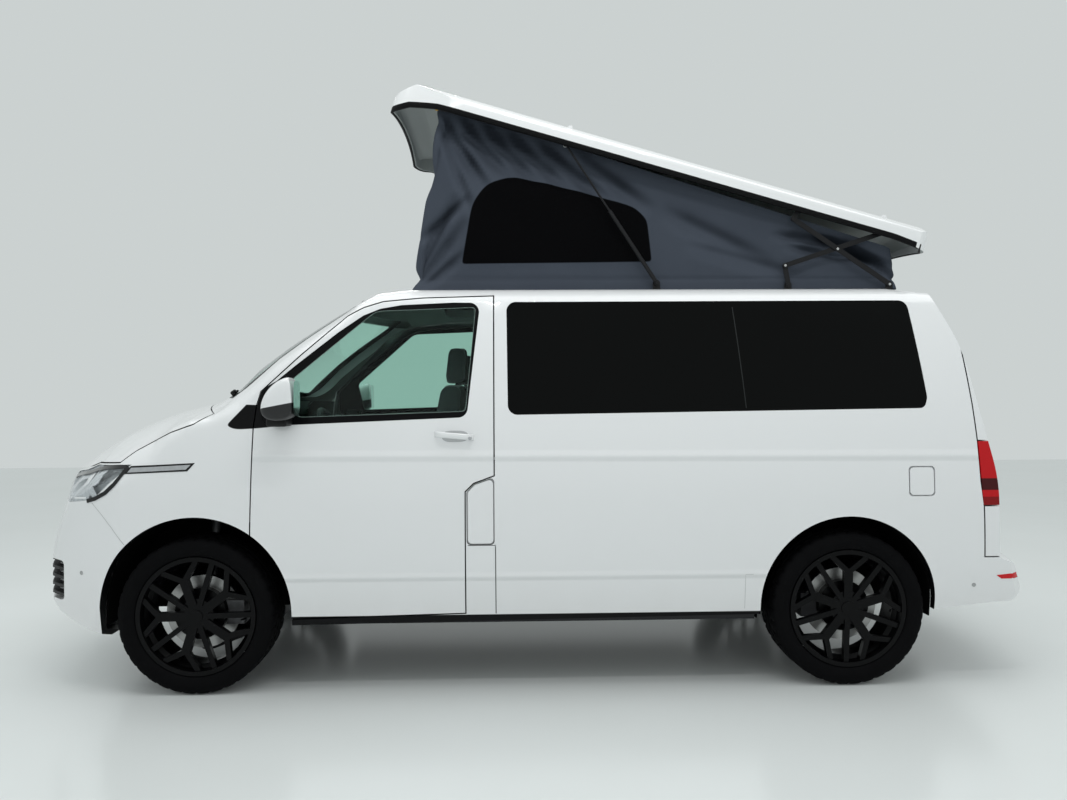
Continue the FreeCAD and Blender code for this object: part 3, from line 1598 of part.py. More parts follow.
def roof_ear(point, y):
    """Plate that hangs from the shell's ceiling down to a pin."""
    angle = math.radians(roof_lift)
    up = Vector(math.sin(angle), 0, math.cos(angle))
    start = at_y(point, y)
    return bar_between(start, start + up * ear_height(point), link_width, link_wall, -1)


def ear_height(point):
    """Distance from a pin up to just inside the shell's ceiling."""
    back = Vector(point.x, 0, point.z) - pole
    angle = math.radians(roof_lift)
    closed_z = pole.z + back.x * math.sin(angle) + back.z * math.cos(angle)
    return ceiling_z - closed_z + link_wall


def pin(point, y0, y1):
    return Part.makeCylinder(pin_radius, y1 - y0, Vector(point.x, -y1, point.z), Vector(0, 1, 0))


def boss(point, y0, y1):
    return Part.makeCylinder(boss_radius, y1 - y0, Vector(point.x, -y1, point.z), Vector(0, 1, 0))


def pin_hole(point, y, depth):
    """Cutter for the hole that turns on a pin."""
    return Part.makeCylinder(pin_radius + seat_gap, 3 * depth, at_y(point, y + depth), Vector(0, 1, 0))


def link(root, end, y):
    """Flat link on both sides of the van; its root end has a hole for a pin."""
    bar = bar_between(at_y(root, y), at_y(end, y), link_width, link_wall, -1)
    return pair(bar.cut(pin_hole(root, y + link_wall, link_wall)))


def body_ear(point, y, pin_tip):
    """Bracket from the body's roof up to a pin."""
    start = at_y(point, y)
    foot = start - Vector(0, 0, 4 * boss_radius)
    plate = bar_between(start, foot, 1.5 * link_width, link_wall, -1)
    return fused([plate.cut(outer_form), pin(point, y, pin_tip)])


def roof_brackets():
    ears = [body_ear(link_a_root, ear_a_y, link_a_y + link_wall + pin_end),
            body_ear(link_s1_root, ear_s1_y, link_s1_y + link_wall + pin_end),
            body_ear(strut_foot, strut_ear_y, strut_y + strut_radius_outer)]
    return Part.makeCompound([solid for ear in ears for solid in pair(ear).Solids])


# Gas strut: a cylinder on the body and a rod to the shell
strut_dir = (strut_head - strut_foot).normalize()


def strut_eye(point):
    return Part.makeCylinder(boss_radius, 2 * rod_radius, at_y(point, strut_y + rod_radius), Vector(0, 1, 0))


def strut_cylinder():
    """Pressure tube with its bore, gland and foot eye."""
    foot = at_y(strut_foot, strut_y)
    length = cylinder_end - cylinder_start
    tube = Part.makeCylinder(strut_radius_outer, length, foot + strut_dir * cylinder_start, strut_dir)
    bore_start = foot + strut_dir * (cylinder_start + 2 * play)
    bore = Part.makeCylinder(strut_bore, length - 4 * play, bore_start, strut_dir)
    gland_start = foot + strut_dir * (cylinder_end - 3 * play)
    gland = Part.makeCylinder(rod_radius + seat_gap, 4 * play, gland_start, strut_dir)
    eye = strut_eye(strut_foot)
    neck = Part.makeCylinder(rod_radius, cylinder_start + play, foot, strut_dir)
    body = fused([tube, eye, neck]).cut(bore).cut(gland)
    return pair(body.cut(pin_hole(strut_foot, strut_y + rod_radius, rod_radius)))


def strut_rod():
    """Piston rod with its head eye, open where the shell's pin lies in it."""
    head = at_y(strut_head, strut_y)
    rod = Part.makeCylinder(rod_radius, rod_length, head, strut_dir * -1.0)
    piston = Part.makeCylinder(strut_bore - seat_gap, 2 * play, head - strut_dir * rod_length, strut_dir)
    eye = strut_eye(strut_head)
    hole_start = at_y(strut_head, strut_y + 1.5 * rod_radius)
    hole = Part.makeCylinder(pin_radius, 3 * rod_radius, hole_start, Vector(0, 1, 0))
    return pair(fused([rod, piston, eye]).cut(hole))


# Canvas between the body's roof and the raised shell
canvas_shares = [(-0.2447, 0.9344), (-0.241, 0.9837), (-0.1856, 1.4383), (-0.1754, 1.5223), (0.7259, 1.2073),
                 (0.7321, 1.0672), (0.7455, 0.9879), (0.7545, 0.9344)]


def canvas():
    """Cloth wall between the roof and the shell, as a closed band."""
    outline = points_of(canvas_shares)
    outer = side_prism(outline, -canvas_half_width, canvas_half_width)
    room = lifted(shell_block(shell_wall + seat_gap, rail_z - 2 * roof_height, 0.0))
    wall = outer.cut(canvas_inside(outline))
    return wall.common(room).cut(moved(outer_form, 0.0, 0.0, seat_gap))


def canvas_inside(outline):
    """Space within the canvas, open above and below."""
    reach = canvas_half_width - canvas_wall
    points = inset_points(outline, canvas_wall)
    for k, way in ((0, -1), (3, 1), (4, 1), (7, -1)):
        points[k] = (points[k][0], points[k][1] + way * overrun)
    return side_prism(points, -reach, reach)


write("windscreen", windscreen())
write("side_glass", side_glass())
write("roof_panel", roof_panel())
write("front_wings", front_wings())
write("body_sides", body_sides())
write("sliding_door", sliding_door())
write("bonnet", bonnet())
left_door = front_door()
write("front_door_left", left_door.cut(notch_region(shut_gap)))
write("front_door_right", mirrored(left_door))
write("door_glass_left", door_glass())
write("door_glass_right", mirrored(door_glass()))
write("mirror_left", mirror())
write("mirror_right", mirrored(mirror()))
write("front_bumper", front_bumper())
write("rear_bumper", rear_bumper())
write("grille", grille())
write("headlamps", headlamps())
write("lamp_housings", lamp_housings())
write("tail_lamps", tail_lamps())
write("tailgate", tailgate())
write("tailgate_glass", tailgate_glass())
write("fuel_flap", flap(fuel_shares))
write("hookup_lid", flap(hookup_shares))
write("floor_pan", floor_pan())
write("chassis_frame", chassis_frame())
write("arch_liners", arch_liners())
write("front_subframe", front_subframe())
write("rear_axle", rear_axle())
write("engine_block", engine_block())
write("exhaust", exhaust())
write("dashboard", dashboard())
write("steering_wheel", steering_wheel())
write("front_seats", front_seats())
write("rear_bench", rear_bench())
write("kitchen_unit", kitchen_unit())
write("knuckle_left", knuckle())
write("knuckle_right", mirrored(knuckle()))
for end, x, angle in (("front", front_axle_x, front_angle), ("rear", rear_axle_x, rear_angle)):
    rim_shape = rim(x, angle)
    tyre_shape = tyre(x)
    write("rim_" + end + "_left", rim_shape)
    write("rim_" + end + "_right", mirrored(rim_shape))
    write("tyre_" + end + "_left", tyre_shape)
    write("tyre_" + end + "_right", mirrored(tyre_shape))
write("pop_roof_shell", pop_roof_shell())
write("roof_brackets", roof_brackets())
write("canvas", canvas())
write("main_link", link(link_a_root, link_a_end, link_a_y))
write("cross_link", link(link_b_root, link_b_end, link_b_y))
write("lower_link", link(link_s1_root, link_b_end, link_s1_y))
write("upper_link", link(link_s2_root, link_a_end, link_s2_y))
write("strut_cylinder", strut_cylinder())
write("strut_rod", strut_rod())
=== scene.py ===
"""Looks of a camper van with a raised pop-up roof: materials, soft pieces, tyres, trim, light, camera."""
import math

import bpy
from mathutils import Matrix, Vector
from mathutils.bvhtree import BVHTree


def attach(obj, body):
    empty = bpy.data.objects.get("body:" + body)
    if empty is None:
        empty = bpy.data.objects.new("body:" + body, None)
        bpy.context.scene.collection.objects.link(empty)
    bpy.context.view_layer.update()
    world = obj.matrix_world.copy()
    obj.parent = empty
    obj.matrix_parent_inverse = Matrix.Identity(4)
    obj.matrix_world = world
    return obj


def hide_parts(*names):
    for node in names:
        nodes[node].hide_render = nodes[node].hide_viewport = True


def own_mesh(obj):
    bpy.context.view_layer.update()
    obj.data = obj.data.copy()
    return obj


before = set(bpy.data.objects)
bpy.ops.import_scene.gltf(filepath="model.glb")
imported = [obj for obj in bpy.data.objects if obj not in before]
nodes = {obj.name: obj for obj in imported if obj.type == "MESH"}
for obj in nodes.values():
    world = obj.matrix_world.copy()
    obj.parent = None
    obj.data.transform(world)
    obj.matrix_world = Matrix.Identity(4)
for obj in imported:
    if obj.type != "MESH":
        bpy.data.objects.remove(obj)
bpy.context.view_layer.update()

# Driving dimensions in metres, as in the frame: -X is the nose, -Y the left side
HALF_LENGTH = 2.452
ROOF_Z = 1.905
FRONT_AXLE_X = -1.544
REAR_AXLE_X = 1.456
AXLE_Z = 0.356
HALF_TRACK = 0.814
POLE_X = 2.593
POLE_Z = 1.820
ROOF_LIFT = math.radians(15.8)
CANVAS_Y = 0.646
CANVAS_FRONT_LOW = Vector((-0.592, 0.0, 1.868))
CANVAS_FRONT_HIGH = Vector((-0.455, 0.0, 2.740))
CANVAS_REAR_LOW = Vector((1.826, 0.0, 1.872))
CANVAS_REAR_HIGH = Vector((1.795, 0.0, 2.033))
SIDES = (("left", -1), ("right", 1))


# --- node helpers
materials = {}


def new_node(tree, kind, sockets=(), **settings):
    """A new node with its settings; each socket gets a link from an output, or its own number or colour."""
    made = tree.nodes.new(kind)
    for key, value in settings.items():
        setattr(made, key, value)
    for key, value in sockets:
        put(tree, made.inputs[key], value)
    return made


def put(tree, target, value):
    if hasattr(value, "is_output"):
        tree.links.new(value, target)
    else:
        target.default_value = (*value, 1.0) if target.type == "RGBA" else value


class Builder:
    """A node material and short ways to add maths, noise and masks to it."""

    def __init__(self, name):
        material = materials[name] = bpy.data.materials.new(name)
        material.use_nodes = True
        self.tree = material.node_tree
        self.shader = self.tree.nodes["Principled BSDF"]
        self.place = None

    def node(self, kind, sockets=(), **settings):
        return new_node(self.tree, kind, sockets, **settings)

    def coords(self):
        if self.place is None:
            self.place = self.node("ShaderNodeTexCoord").outputs["Object"]
        return self.place

    def axes(self):
        return self.node("ShaderNodeSeparateXYZ", [(0, self.coords())]).outputs

    def normal(self):
        """The face's own direction in the piece's space, so that it turns with the piece."""
        facing = self.node("ShaderNodeNewGeometry").outputs["True Normal"]
        turn = self.node("ShaderNodeVectorTransform", [(0, facing)], vector_type="NORMAL",
                         convert_from="WORLD", convert_to="OBJECT")
        return self.node("ShaderNodeSeparateXYZ", [(0, turn.outputs[0])]).outputs

    def math(self, operation, a, b=0.0, c=0.0, clamp=False):
        terms = enumerate((a, b, c))
        return self.node("ShaderNodeMath", terms, operation=operation, use_clamp=clamp).outputs[0]

    def below(self, a, b):
        return self.math("LESS_THAN", a, b)

    def above(self, a, b):
        return self.math("GREATER_THAN", a, b)

    def both(self, a, b):
        return self.math("MULTIPLY", a, b)

    def either(self, a, b):
        return self.math("MAXIMUM", a, b)

    def size(self, a):
        return self.math("ABSOLUTE", a)

    def other(self, a):
        return self.math("SUBTRACT", 1.0, a)

    def remap(self, value, low, high, to_low=0.0, to_high=1.0, smooth=True):
        names = ("Value", "From Min", "From Max", "To Min", "To Max")
        sockets = zip(names, (value, low, high, to_low, to_high))
        kind = "SMOOTHSTEP" if smooth else "LINEAR"
        return self.node("ShaderNodeMapRange", sockets, interpolation_type=kind).outputs[0]

    def noise(self, scale, detail=4.0, roughness=0.5, stretch=None):
        place = self.coords()
        if stretch:
            place = self.node("ShaderNodeMapping", [("Vector", place), ("Scale", stretch)]).outputs[0]
        values = [("Vector", place), ("Scale", scale), ("Detail", detail), ("Roughness", roughness)]
        return self.node("ShaderNodeTexNoise", values).outputs["Fac"]

    def wave(self, direction, scale):
        values = [("Scale", scale), ("Vector", self.coords())]
        return self.node("ShaderNodeTexWave", values, bands_direction=direction).outputs["Fac"]

    def blend(self, factor, a, b):
        return self.node("ShaderNodeMix", [("Factor", factor), (6, a), (7, b)], data_type="RGBA").outputs[2]

    def bump(self, height, strength=0.3, distance=0.001, under=None):
        values = [("Strength", strength), ("Distance", distance), ("Height", height)]
        if under is not None:
            values.append(("Normal", under))
        return self.node("ShaderNodeBump", values).outputs[0]

    def polygon(self, points, soft, u="X", rounding=0.03):
        """1 inside a convex outline of the u and Z axes, fading over soft metres."""
        axes = self.axes()
        inside = None
        edges = list(zip(points, points[1:] + points[:1]))
        turn = 1.0 if sum(a[0] * b[1] - b[0] * a[1] for a, b in edges) > 0 else -1.0
        for (ax, az), (bx, bz) in edges:
            length = math.hypot(bx - ax, bz - az)
            nx = -(bz - az) / length * turn
            nz = (bx - ax) / length * turn
            part = self.math("MULTIPLY_ADD", axes["Z"], nz, -(nx * ax + nz * az))
            edge = self.math("ADD", self.both(axes[u], nx), part)
            inside = edge if inside is None else self.math("SMOOTH_MIN", inside, edge, rounding)
        return self.remap(inside, -soft, soft)

    def set(self, **values):
        for key, value in values.items():
            put(self.tree, self.shader.inputs[key.replace("_", " ")], value)


# --- masks
DOOR_PANE = [(-1.075, 1.261), (-1.110, 1.430), (-0.732, 1.752), (-0.267, 1.769), (-0.312, 1.283)]
SCREEN_PANE = [(-0.725, 1.375), (0.725, 1.375), (0.63, 1.79), (-0.63, 1.79)]
TAIL_PANE = [(-0.67, 1.225), (0.67, 1.225), (0.60, 1.69), (-0.60, 1.69)]
PILLAR_FOOT = [(-1.397, 1.226), (-1.245, 1.390), (-1.105, 1.466), (-1.085, 1.232), (-1.235, 1.209),
               (-1.366, 1.207)]
ARCH_RADIUS = 0.50


def panel_lining(b):
    """1 on the faces of a side panel that look into the van."""
    inward = b.below(b.both(b.normal()["Y"], b.axes()["Y"]), -0.2)
    return b.both(inward, b.above(b.axes()["Z"], 0.30))


def end_lining(b):
    """1 on the faces of the tailgate or the bonnet that look into the van."""
    normal = b.normal()
    forward = b.both(b.below(normal["X"], -0.3), b.above(b.axes()["X"], 1.5))
    return b.either(forward, b.below(normal["Z"], -0.5))


def roof_lining(b):
    return b.below(b.normal()["Z"], -0.35)


def shell_lining(b):
    """1 on the inner faces of the roof shell."""
    normal = b.normal()
    axes = b.axes()
    inward = b.below(b.both(normal["Y"], axes["Y"]), -0.15)
    front = b.both(b.both(b.above(normal["X"], 0.15), b.below(axes["X"], 0.0)), b.below(normal["Z"], 0.6))
    return b.either(b.either(b.below(normal["Z"], -0.3), inward), front)


def between(b, value, low, high):
    return b.both(b.below(value, high), b.above(value, low))


def shut_gap(b):
    """1 on the narrow faces round a side opening, which carry a rubber seal."""
    return b.both(b.below(b.size(b.normal()["Y"]), 0.4), between(b, b.axes()["X"], -1.36, 1.62))


def sill_band(b):
    """1 on the black plastic strip along the foot of the sides."""
    axes = b.axes()
    return b.both(b.remap(axes["Z"], 0.349, 0.347), between(b, axes["X"], -1.20, 1.10))


def axle_radius(b):
    """Distance from the nearer axle in the side view."""
    axes = b.axes()
    up = b.math("SUBTRACT", axes["Z"], AXLE_Z)
    front, rear = (b.size(b.math("SUBTRACT", axes["X"], axle_x)) for axle_x in (FRONT_AXLE_X, REAR_AXLE_X))
    along = b.math("MINIMUM", front, rear)
    return b.math("SQRT", b.math("ADD", b.both(along, along), b.both(up, up)))


def arch_edge(b):
    """1 on the turned-in edges of the panels round the wheels."""
    return b.both(b.below(axle_radius(b), ARCH_RADIUS), b.below(b.size(b.normal()["Y"]), 0.55))


def wing_black(b):
    """1 on the arch edges and the black corner at the foot of the front pillar."""
    return b.either(b.polygon(PILLAR_FOOT, 0.0012), arch_edge(b))


def side_black(b):
    return b.either(b.either(shut_gap(b), sill_band(b)), wing_black(b))


def frit(*pane):
    """Mask of the black border round a pane."""
    return lambda b: b.other(b.polygon(*pane))


# --- kinds of material
FRIT_BLACK = (0.003, 0.003, 0.0035)
ROAD_DUST = (0.52, 0.50, 0.47)
DARK_LINING = (0.075, 0.078, 0.080)


def scaled(color, share):
    return tuple(min(1.0, share * c) for c in color)


def paint(name, color, black=None, swage=False, lining=None, lining_color=DARK_LINING):
    """Gloss vehicle paint with light road dust low down, matt where a mask makes it black or a lining."""
    b = Builder(name)
    dust = b.both(b.remap(b.axes()["Z"], 0.62, 0.28), b.noise(5.0, 6.0))
    tone = b.blend(b.noise(1.3, 3.0), color, scaled(color, 0.995))
    tone = b.blend(b.both(dust, 0.25), tone, ROAD_DUST)
    rough, coat = 0.28, 1.0
    if black is not None:
        mask = black(b)
        tone = b.blend(mask, tone, (0.004, 0.004, 0.0045))
        coat = b.other(mask)
        b.set(Specular_IOR_Level=b.remap(mask, 0.0, 1.0, 0.5, 0.12))
    if lining is not None:
        inside = lining(b)
        tone = b.blend(inside, tone, lining_color)
        rough = b.either(rough, b.both(inside, 0.7))
        coat = b.math("SUBTRACT", coat, inside, clamp=True)
    b.set(Base_Color=tone, Roughness=rough, Coat_Weight=coat, Coat_Roughness=0.035)
    if swage:
        b.set(Normal=b.bump(swage_height(b), 1.0, 0.006))


def swage_height(b):
    """Two soft pressed lines along the side."""
    axes = b.axes()
    ridges = []
    for z_at, slope, width in ((1.078, -0.006, 0.030), (0.527, -0.002, 0.024)):
        line = b.math("MULTIPLY_ADD", axes["X"], slope, z_at)
        ridges.append(b.remap(b.size(b.math("SUBTRACT", axes["Z"], line)), width, 0.0))
    return b.math("ADD", *ridges)


def plastic(name, color, rough, grain=900.0, depth=0.0003, coat=0.0, gloss=0.25):
    """Grained plastic or rubber."""
    b = Builder(name)
    tone = b.blend(b.noise(9.0, 4.0), color, scaled(color, 1.35))
    b.set(Base_Color=tone, Roughness=b.remap(b.noise(25.0), 0.3, 0.7, rough - 0.04, rough + 0.05),
          Coat_Weight=coat, Specular_IOR_Level=gloss, Normal=b.bump(b.noise(grain, 3.0), 0.35, depth))


def metal(name, color, rough, brushed=False):
    b = Builder(name)
    grain = b.noise(60.0, 5.0, stretch=(1.0, 60.0, 1.0) if brushed else None)
    b.set(Base_Color=b.blend(grain, color, scaled(color, 0.72)), Metallic=1.0,
          Roughness=b.remap(grain, 0.3, 0.7, rough, rough + 0.16), Normal=b.bump(grain, 0.15, 0.0003))


def glass(name, tint, alpha, border=None, gloss=0.3):
    """Privacy pane or lens: alpha lets the inside show; border masks its black edge."""
    b = Builder(name)
    tone, opacity = tint, alpha
    if border is not None:
        mask = border(b)
        tone = b.blend(mask, tint, FRIT_BLACK)
        opacity = b.remap(mask, 0.0, 1.0, alpha, 1.0, smooth=False)
    b.set(Base_Color=tone, Roughness=0.02, Alpha=opacity, Specular_IOR_Level=gloss)


def clear_glass(name, tint, border):
    """Green tinted pane that light passes, with a black border."""
    b = Builder(name)
    mask = border(b)
    rough = b.remap(mask, 0.0, 1.0, 0.0, 0.35, smooth=False)
    b.set(Base_Color=b.blend(mask, tint, FRIT_BLACK), Roughness=rough, Transmission_Weight=b.other(mask),
          IOR=1.12, Coat_Weight=0.12, Coat_Roughness=0.01)


def wheel_metal():
    """Black rim with the bare brake disc behind its spokes."""
    b = Builder("rim_black")
    behind = between(b, b.size(b.axes()["Y"]), 0.7885, 0.8205)
    radius = axle_radius(b)
    disc = b.both(behind, b.below(radius, 0.172))
    ring = b.node("ShaderNodeTexNoise", [("Scale", 400.0), ("Vector", radius)])
    bare = b.blend(ring.outputs["Fac"], (0.46, 0.46, 0.45), (0.30, 0.30, 0.30))
    b.set(Base_Color=b.blend(disc, (0.0016, 0.0016, 0.0019), bare), Metallic=disc,
          Roughness=b.remap(disc, 0.0, 1.0, 0.30, 0.34), Specular_IOR_Level=0.13)


def cloth(name, color):
    """Woven seat cloth with soft creases."""
    b = Builder(name)
    weave = 1400.0 / 6.0
    threads = b.both(b.wave("X", weave), b.wave("Z", weave))
    creases = b.bump(b.noise(22.0, 7.0, 0.6), 0.25, 0.004)
    b.set(Base_Color=b.blend(b.noise(7.0, 5.0), color, scaled(color, 0.82)), Roughness=0.85, Sheen_Weight=0.4,
          Sheen_Roughness=0.5, Normal=b.bump(threads, 0.25, 0.0004, creases))


def lamp_red():
    """Rear lamp lens: bright red over a darker foot, with fine ribs behind the gloss."""
    b = Builder("red_lens")
    axes = b.axes()
    tone = b.blend(b.remap(axes["Z"], 0.875, 0.871), (0.50, 0.004, 0.008), (0.22, 0.002, 0.004))
    dark = b.both(b.remap(axes["Z"], 0.960, 0.956), b.remap(axes["Z"], 0.902, 0.906))
    tone = b.blend(b.both(dark, b.remap(axes["X"], 2.190, 2.188)), tone, (0.05, 0.001, 0.002))
    b.set(Base_Color=tone, Roughness=0.16, Coat_Weight=0.15, Coat_Roughness=0.03, Specular_IOR_Level=0.2,
          Normal=b.bump(b.wave("Z", 55.0), 0.12, 0.001))


def shell_paint():
    """White roof shell with a grey-green lining."""
    b = Builder("roof_shell_white")
    white = b.blend(b.noise(2.0), (0.80, 0.81, 0.815), (0.77, 0.78, 0.79))
    inside = shell_lining(b)
    rough, coat = b.remap(inside, 0.0, 1.0, 0.22, 0.8), b.remap(inside, 0.0, 1.0, 0.8, 0.0)
    tone = b.blend(inside, white, (0.42, 0.45, 0.44))
    b.set(Base_Color=tone, Roughness=rough, Coat_Weight=coat, Coat_Roughness=0.05)


# --- smooth CAD meshes
def smoothing_group():
    """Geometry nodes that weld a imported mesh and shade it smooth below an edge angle."""
    group = bpy.data.node_groups.new("panel_smoothing", "GeometryNodeTree")
    for way in ("INPUT", "OUTPUT"):
        group.interface.new_socket("Geometry", in_out=way, socket_type="NodeSocketGeometry")
    start = new_node(group, "NodeGroupInput").outputs[0]
    clean = new_node(group, "GeometryNodeRemoveAttribute", [(0, start), ("Name", "custom_normal")]).outputs[0]
    weld = new_node(group, "GeometryNodeMergeByDistance", [(0, clean), ("Distance", 0.00002)]).outputs[0]
    faces = new_node(group, "GeometryNodeSetShadeSmooth", [(0, weld)], domain="FACE").outputs[0]
    angle = new_node(group, "GeometryNodeInputMeshEdgeAngle").outputs["Unsigned Angle"]
    sharp = new_node(group, "FunctionNodeCompare", [(0, angle), (1, math.radians(28.0))]).outputs["Result"]
    sockets = [(0, faces), ("Selection", sharp), ("Shade Smooth", False)]
    edges = new_node(group, "GeometryNodeSetShadeSmooth", sockets, domain="EDGE").outputs[0]
    new_node(group, "NodeGroupOutput", [(0, edges)])
    return group


smoothing = smoothing_group()


def dress(node, material):
    """Give a CAD node a material and smooth shading."""
    obj = nodes[node]
    for slot in obj.material_slots:
        slot.material = material
    if not obj.material_slots:
        obj.data.materials.append(material)
    obj.modifiers.new("smoothing", "NODES").node_group = smoothing


# --- meshes
def add_object(name, data):
    obj = bpy.data.objects.new(name, data)
    bpy.context.scene.collection.objects.link(obj)
    return obj


def plain_mesh(name, verts, faces, material):
    mesh = bpy.data.meshes.new(name)
    mesh.from_pydata([tuple(v) for v in verts], [], faces)
    mesh.materials.append(materials[material])
    return mesh


def mesh_piece(name, verts, faces, skin, body, smooth=True):
    """A piece that rides a body; skin names its material and a slot, which is not used."""
    material, slot = skin
    mesh = plain_mesh(name, verts, faces, material)
    mesh.update()
    for polygon in mesh.polygons:
        polygon.use_smooth = smooth
    obj = add_object(name, mesh)
    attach(obj, body)
    return obj


def add_bevel(obj, width, segments=2):
    modifier = obj.modifiers.new("bevel", "BEVEL")
    modifier.width = width
    modifier.segments = segments
    modifier.limit_method = "ANGLE"
    modifier.harden_normals = False
    return obj


def split_edges(obj, degrees):
    obj.modifiers.new("edges", "EDGE_SPLIT").split_angle = math.radians(degrees)
    return obj


def subdivide(obj, name):
    smooth = obj.modifiers.new(name, "SUBSURF")
    smooth.levels = smooth.render_levels = 1


BOX_FACES = [(0, 1, 3, 2), (4, 6, 7, 5), (0, 4, 5, 1), (2, 3, 7, 6), (0, 2, 6, 4), (1, 5, 7, 3)]


def box_verts(xs, ys, zs):
    return [(x, y, z) for x in sorted(xs) for y in sorted(ys) for z in sorted(zs)]


def box_piece(name, xs, ys, zs, skin, body, smooth=True):
    return mesh_piece(name, box_verts(xs, ys, zs), BOX_FACES, skin, body, smooth)


def ring_quads(rings, count, flip=False, around=False):
    """Quads between neighbouring rings of count points; around joins the last ring to the first."""
    quads = []
    for k in range(rings if around else rings - 1):
        a, b = k * count, (k + 1) % rings * count
        for s in range(count):
            t = (s + 1) % count
            quads.append((a + s, a + t, b + t, b + s))
    return [quad[::-1] for quad in quads] if flip else quads


def ring_ends(rings, count, flip=False):
    """The faces that close the first and the last ring."""
    ends = [tuple(range(count))[::-1], tuple(range((rings - 1) * count, rings * count))]
    return [end[::-1] for end in ends] if flip else ends


def circle(count):
    """(cosine, sine) pairs round a circle."""
    return [(math.cos(2 * math.pi * k / count), math.sin(2 * math.pi * k / count)) for k in range(count)]


def rounded(value, power):
    """A cosine or sine pushed out towards a square."""
    return math.copysign(abs(value) ** power, value)


def tube(name, points, radius, skin, body, sides=8):
    """Round bar along a few points, with rings turned to the path."""
    verts = []
    for k, point in enumerate(points):
        along = (points[min(k + 1, len(points) - 1)] - points[max(k - 1, 0)]).normalized()
        side = along.cross(Vector((0, 0, 1)))
        if side.length < 0.05:
            side = along.cross(Vector((0, 1, 0)))
        side.normalize()
        up = side.cross(along)
        verts += [point + (side * c + up * s) * radius for c, s in circle(sides)]
    faces = ring_quads(len(points), sides) + ring_ends(len(points), sides)
    return mesh_piece(name, verts, faces, skin, body)


def disc_mesh(centre, axis, rings, sides):
    """Verts and faces of a turned form: rings of (offset along axis, radius)."""
    axis = Vector(axis).normalized()
    u = axis.orthogonal().normalized()
    v = axis.cross(u)
    verts = [Vector(centre) + axis * offset + (u * c + v * s) * radius for offset, radius in rings
             for c, s in circle(sides)]
    return verts, ring_quads(len(rings), sides) + ring_ends(len(rings), sides)


def turned(name, centre, axis, rings, skin, body, sides=32):
    verts, faces = disc_mesh(centre, axis, rings, sides)
    return split_edges(mesh_piece(name, verts, faces, skin, body), 40)


def lerp(a, b, t):
    return a + (b - a) * t


def spaced(path, step, closed=False):
    """Points about a step apart along a line of two-coordinate points."""
    made = []
    for a, b in zip(path, path[1:] + path[:1] if closed else path[1:]):
        parts = max(1, int(math.dist(a, b) / step))
        made += [Vector(a).lerp(Vector(b), k / parts) for k in range(parts)]
    return made if closed else made + [Vector(path[-1])]


# --- materials
WHITE = (0.78, 0.79, 0.80)
BLACK = (0.006, 0.006, 0.0065)
PRIVACY = (0.0008, 0.001, 0.001)
paint("white_paint", WHITE, black=side_black, swage=True, lining=panel_lining)
paint("wing_paint", WHITE, black=wing_black, lining=panel_lining)
paint("roof_paint", WHITE, lining=roof_lining, lining_color=(0.20, 0.21, 0.205))
paint("hood_paint", WHITE, lining=end_lining)
paint("flap_paint", WHITE)
paint("bumper_paint", WHITE, black=arch_edge)
# grey painted shade for the recess behind each door handle
paint("painted_bowl_shade", (0.42, 0.43, 0.44))
plastic("gloss_black", BLACK, 0.14, 200.0, 0.0001, 0.25)
plastic("lamp_bowl", (0.50, 0.53, 0.55), 0.30, 60.0, 0.0004, 0.3)
plastic("lamp_white", (0.85, 0.87, 0.88), 0.20, 100.0, 0.0001, 0.5)
plastic("reflector_red", (0.48, 0.004, 0.008), 0.16, 500.0, 0.0002, 0.15)
plastic("plate_white", (0.72, 0.73, 0.72), 0.30, 300.0, 0.0001, 0.4)
plastic("black_plastic", BLACK, 0.48)
plastic("seal_rubber", (0.004, 0.004, 0.0045), 0.62, gloss=0.12)
plastic("tyre_rubber", (0.0026, 0.0026, 0.0030), 0.72, 260.0, 0.0006, gloss=0.06)
plastic("frame_paint", (0.018, 0.018, 0.020), 0.5, 120.0, 0.0006)
plastic("strap_yellow", (0.55, 0.32, 0.01), 0.6)
plastic("arch_black", (0.003, 0.003, 0.003), 0.9, gloss=0.05)
plastic("link_black", (0.007, 0.007, 0.008), 0.38, 300.0, 0.0002)
plastic("cabinet_front", (0.32, 0.31, 0.30), 0.38, 90.0, 0.0003)
plastic("dash_plastic", (0.016, 0.017, 0.018), 0.6, 700.0, 0.0005)
plastic("seam_grey", (0.03, 0.03, 0.03), 0.7)
plastic("faint_seam", (0.34, 0.35, 0.35), 0.6)
plastic("divider_black", (0.010, 0.012, 0.012), 0.6)
metal("dark_metal", (0.12, 0.12, 0.125), 0.42)
metal("pipe_steel", (0.42, 0.41, 0.39), 0.30, True)
metal("cast_iron", (0.20, 0.20, 0.21), 0.5)
metal("bolt_steel", (0.10, 0.10, 0.105), 0.30)
metal("mirror_silver", (0.75, 0.77, 0.78), 0.03)
metal("flat_silver", (0.62, 0.63, 0.65), 0.28)
metal("bright_pin", (0.70, 0.70, 0.70), 0.2)
wheel_metal()
clear_glass("door_glass", (0.62, 0.82, 0.75), frit(DOOR_PANE, 0.002))
clear_glass("screen_glass", (0.66, 0.84, 0.78), frit(SCREEN_PANE, 0.003, "Y"))
glass("dark_glass", PRIVACY, 0.99, gloss=0.11)
glass("tail_glass", PRIVACY, 0.99, frit(TAIL_PANE, 0.003, "Y"), 0.11)
glass("lens_clear", (0.45, 0.48, 0.50), 0.10, gloss=0.5)
lamp_red()
shell_paint()
cloth("seat_cloth", (0.05, 0.05, 0.055))

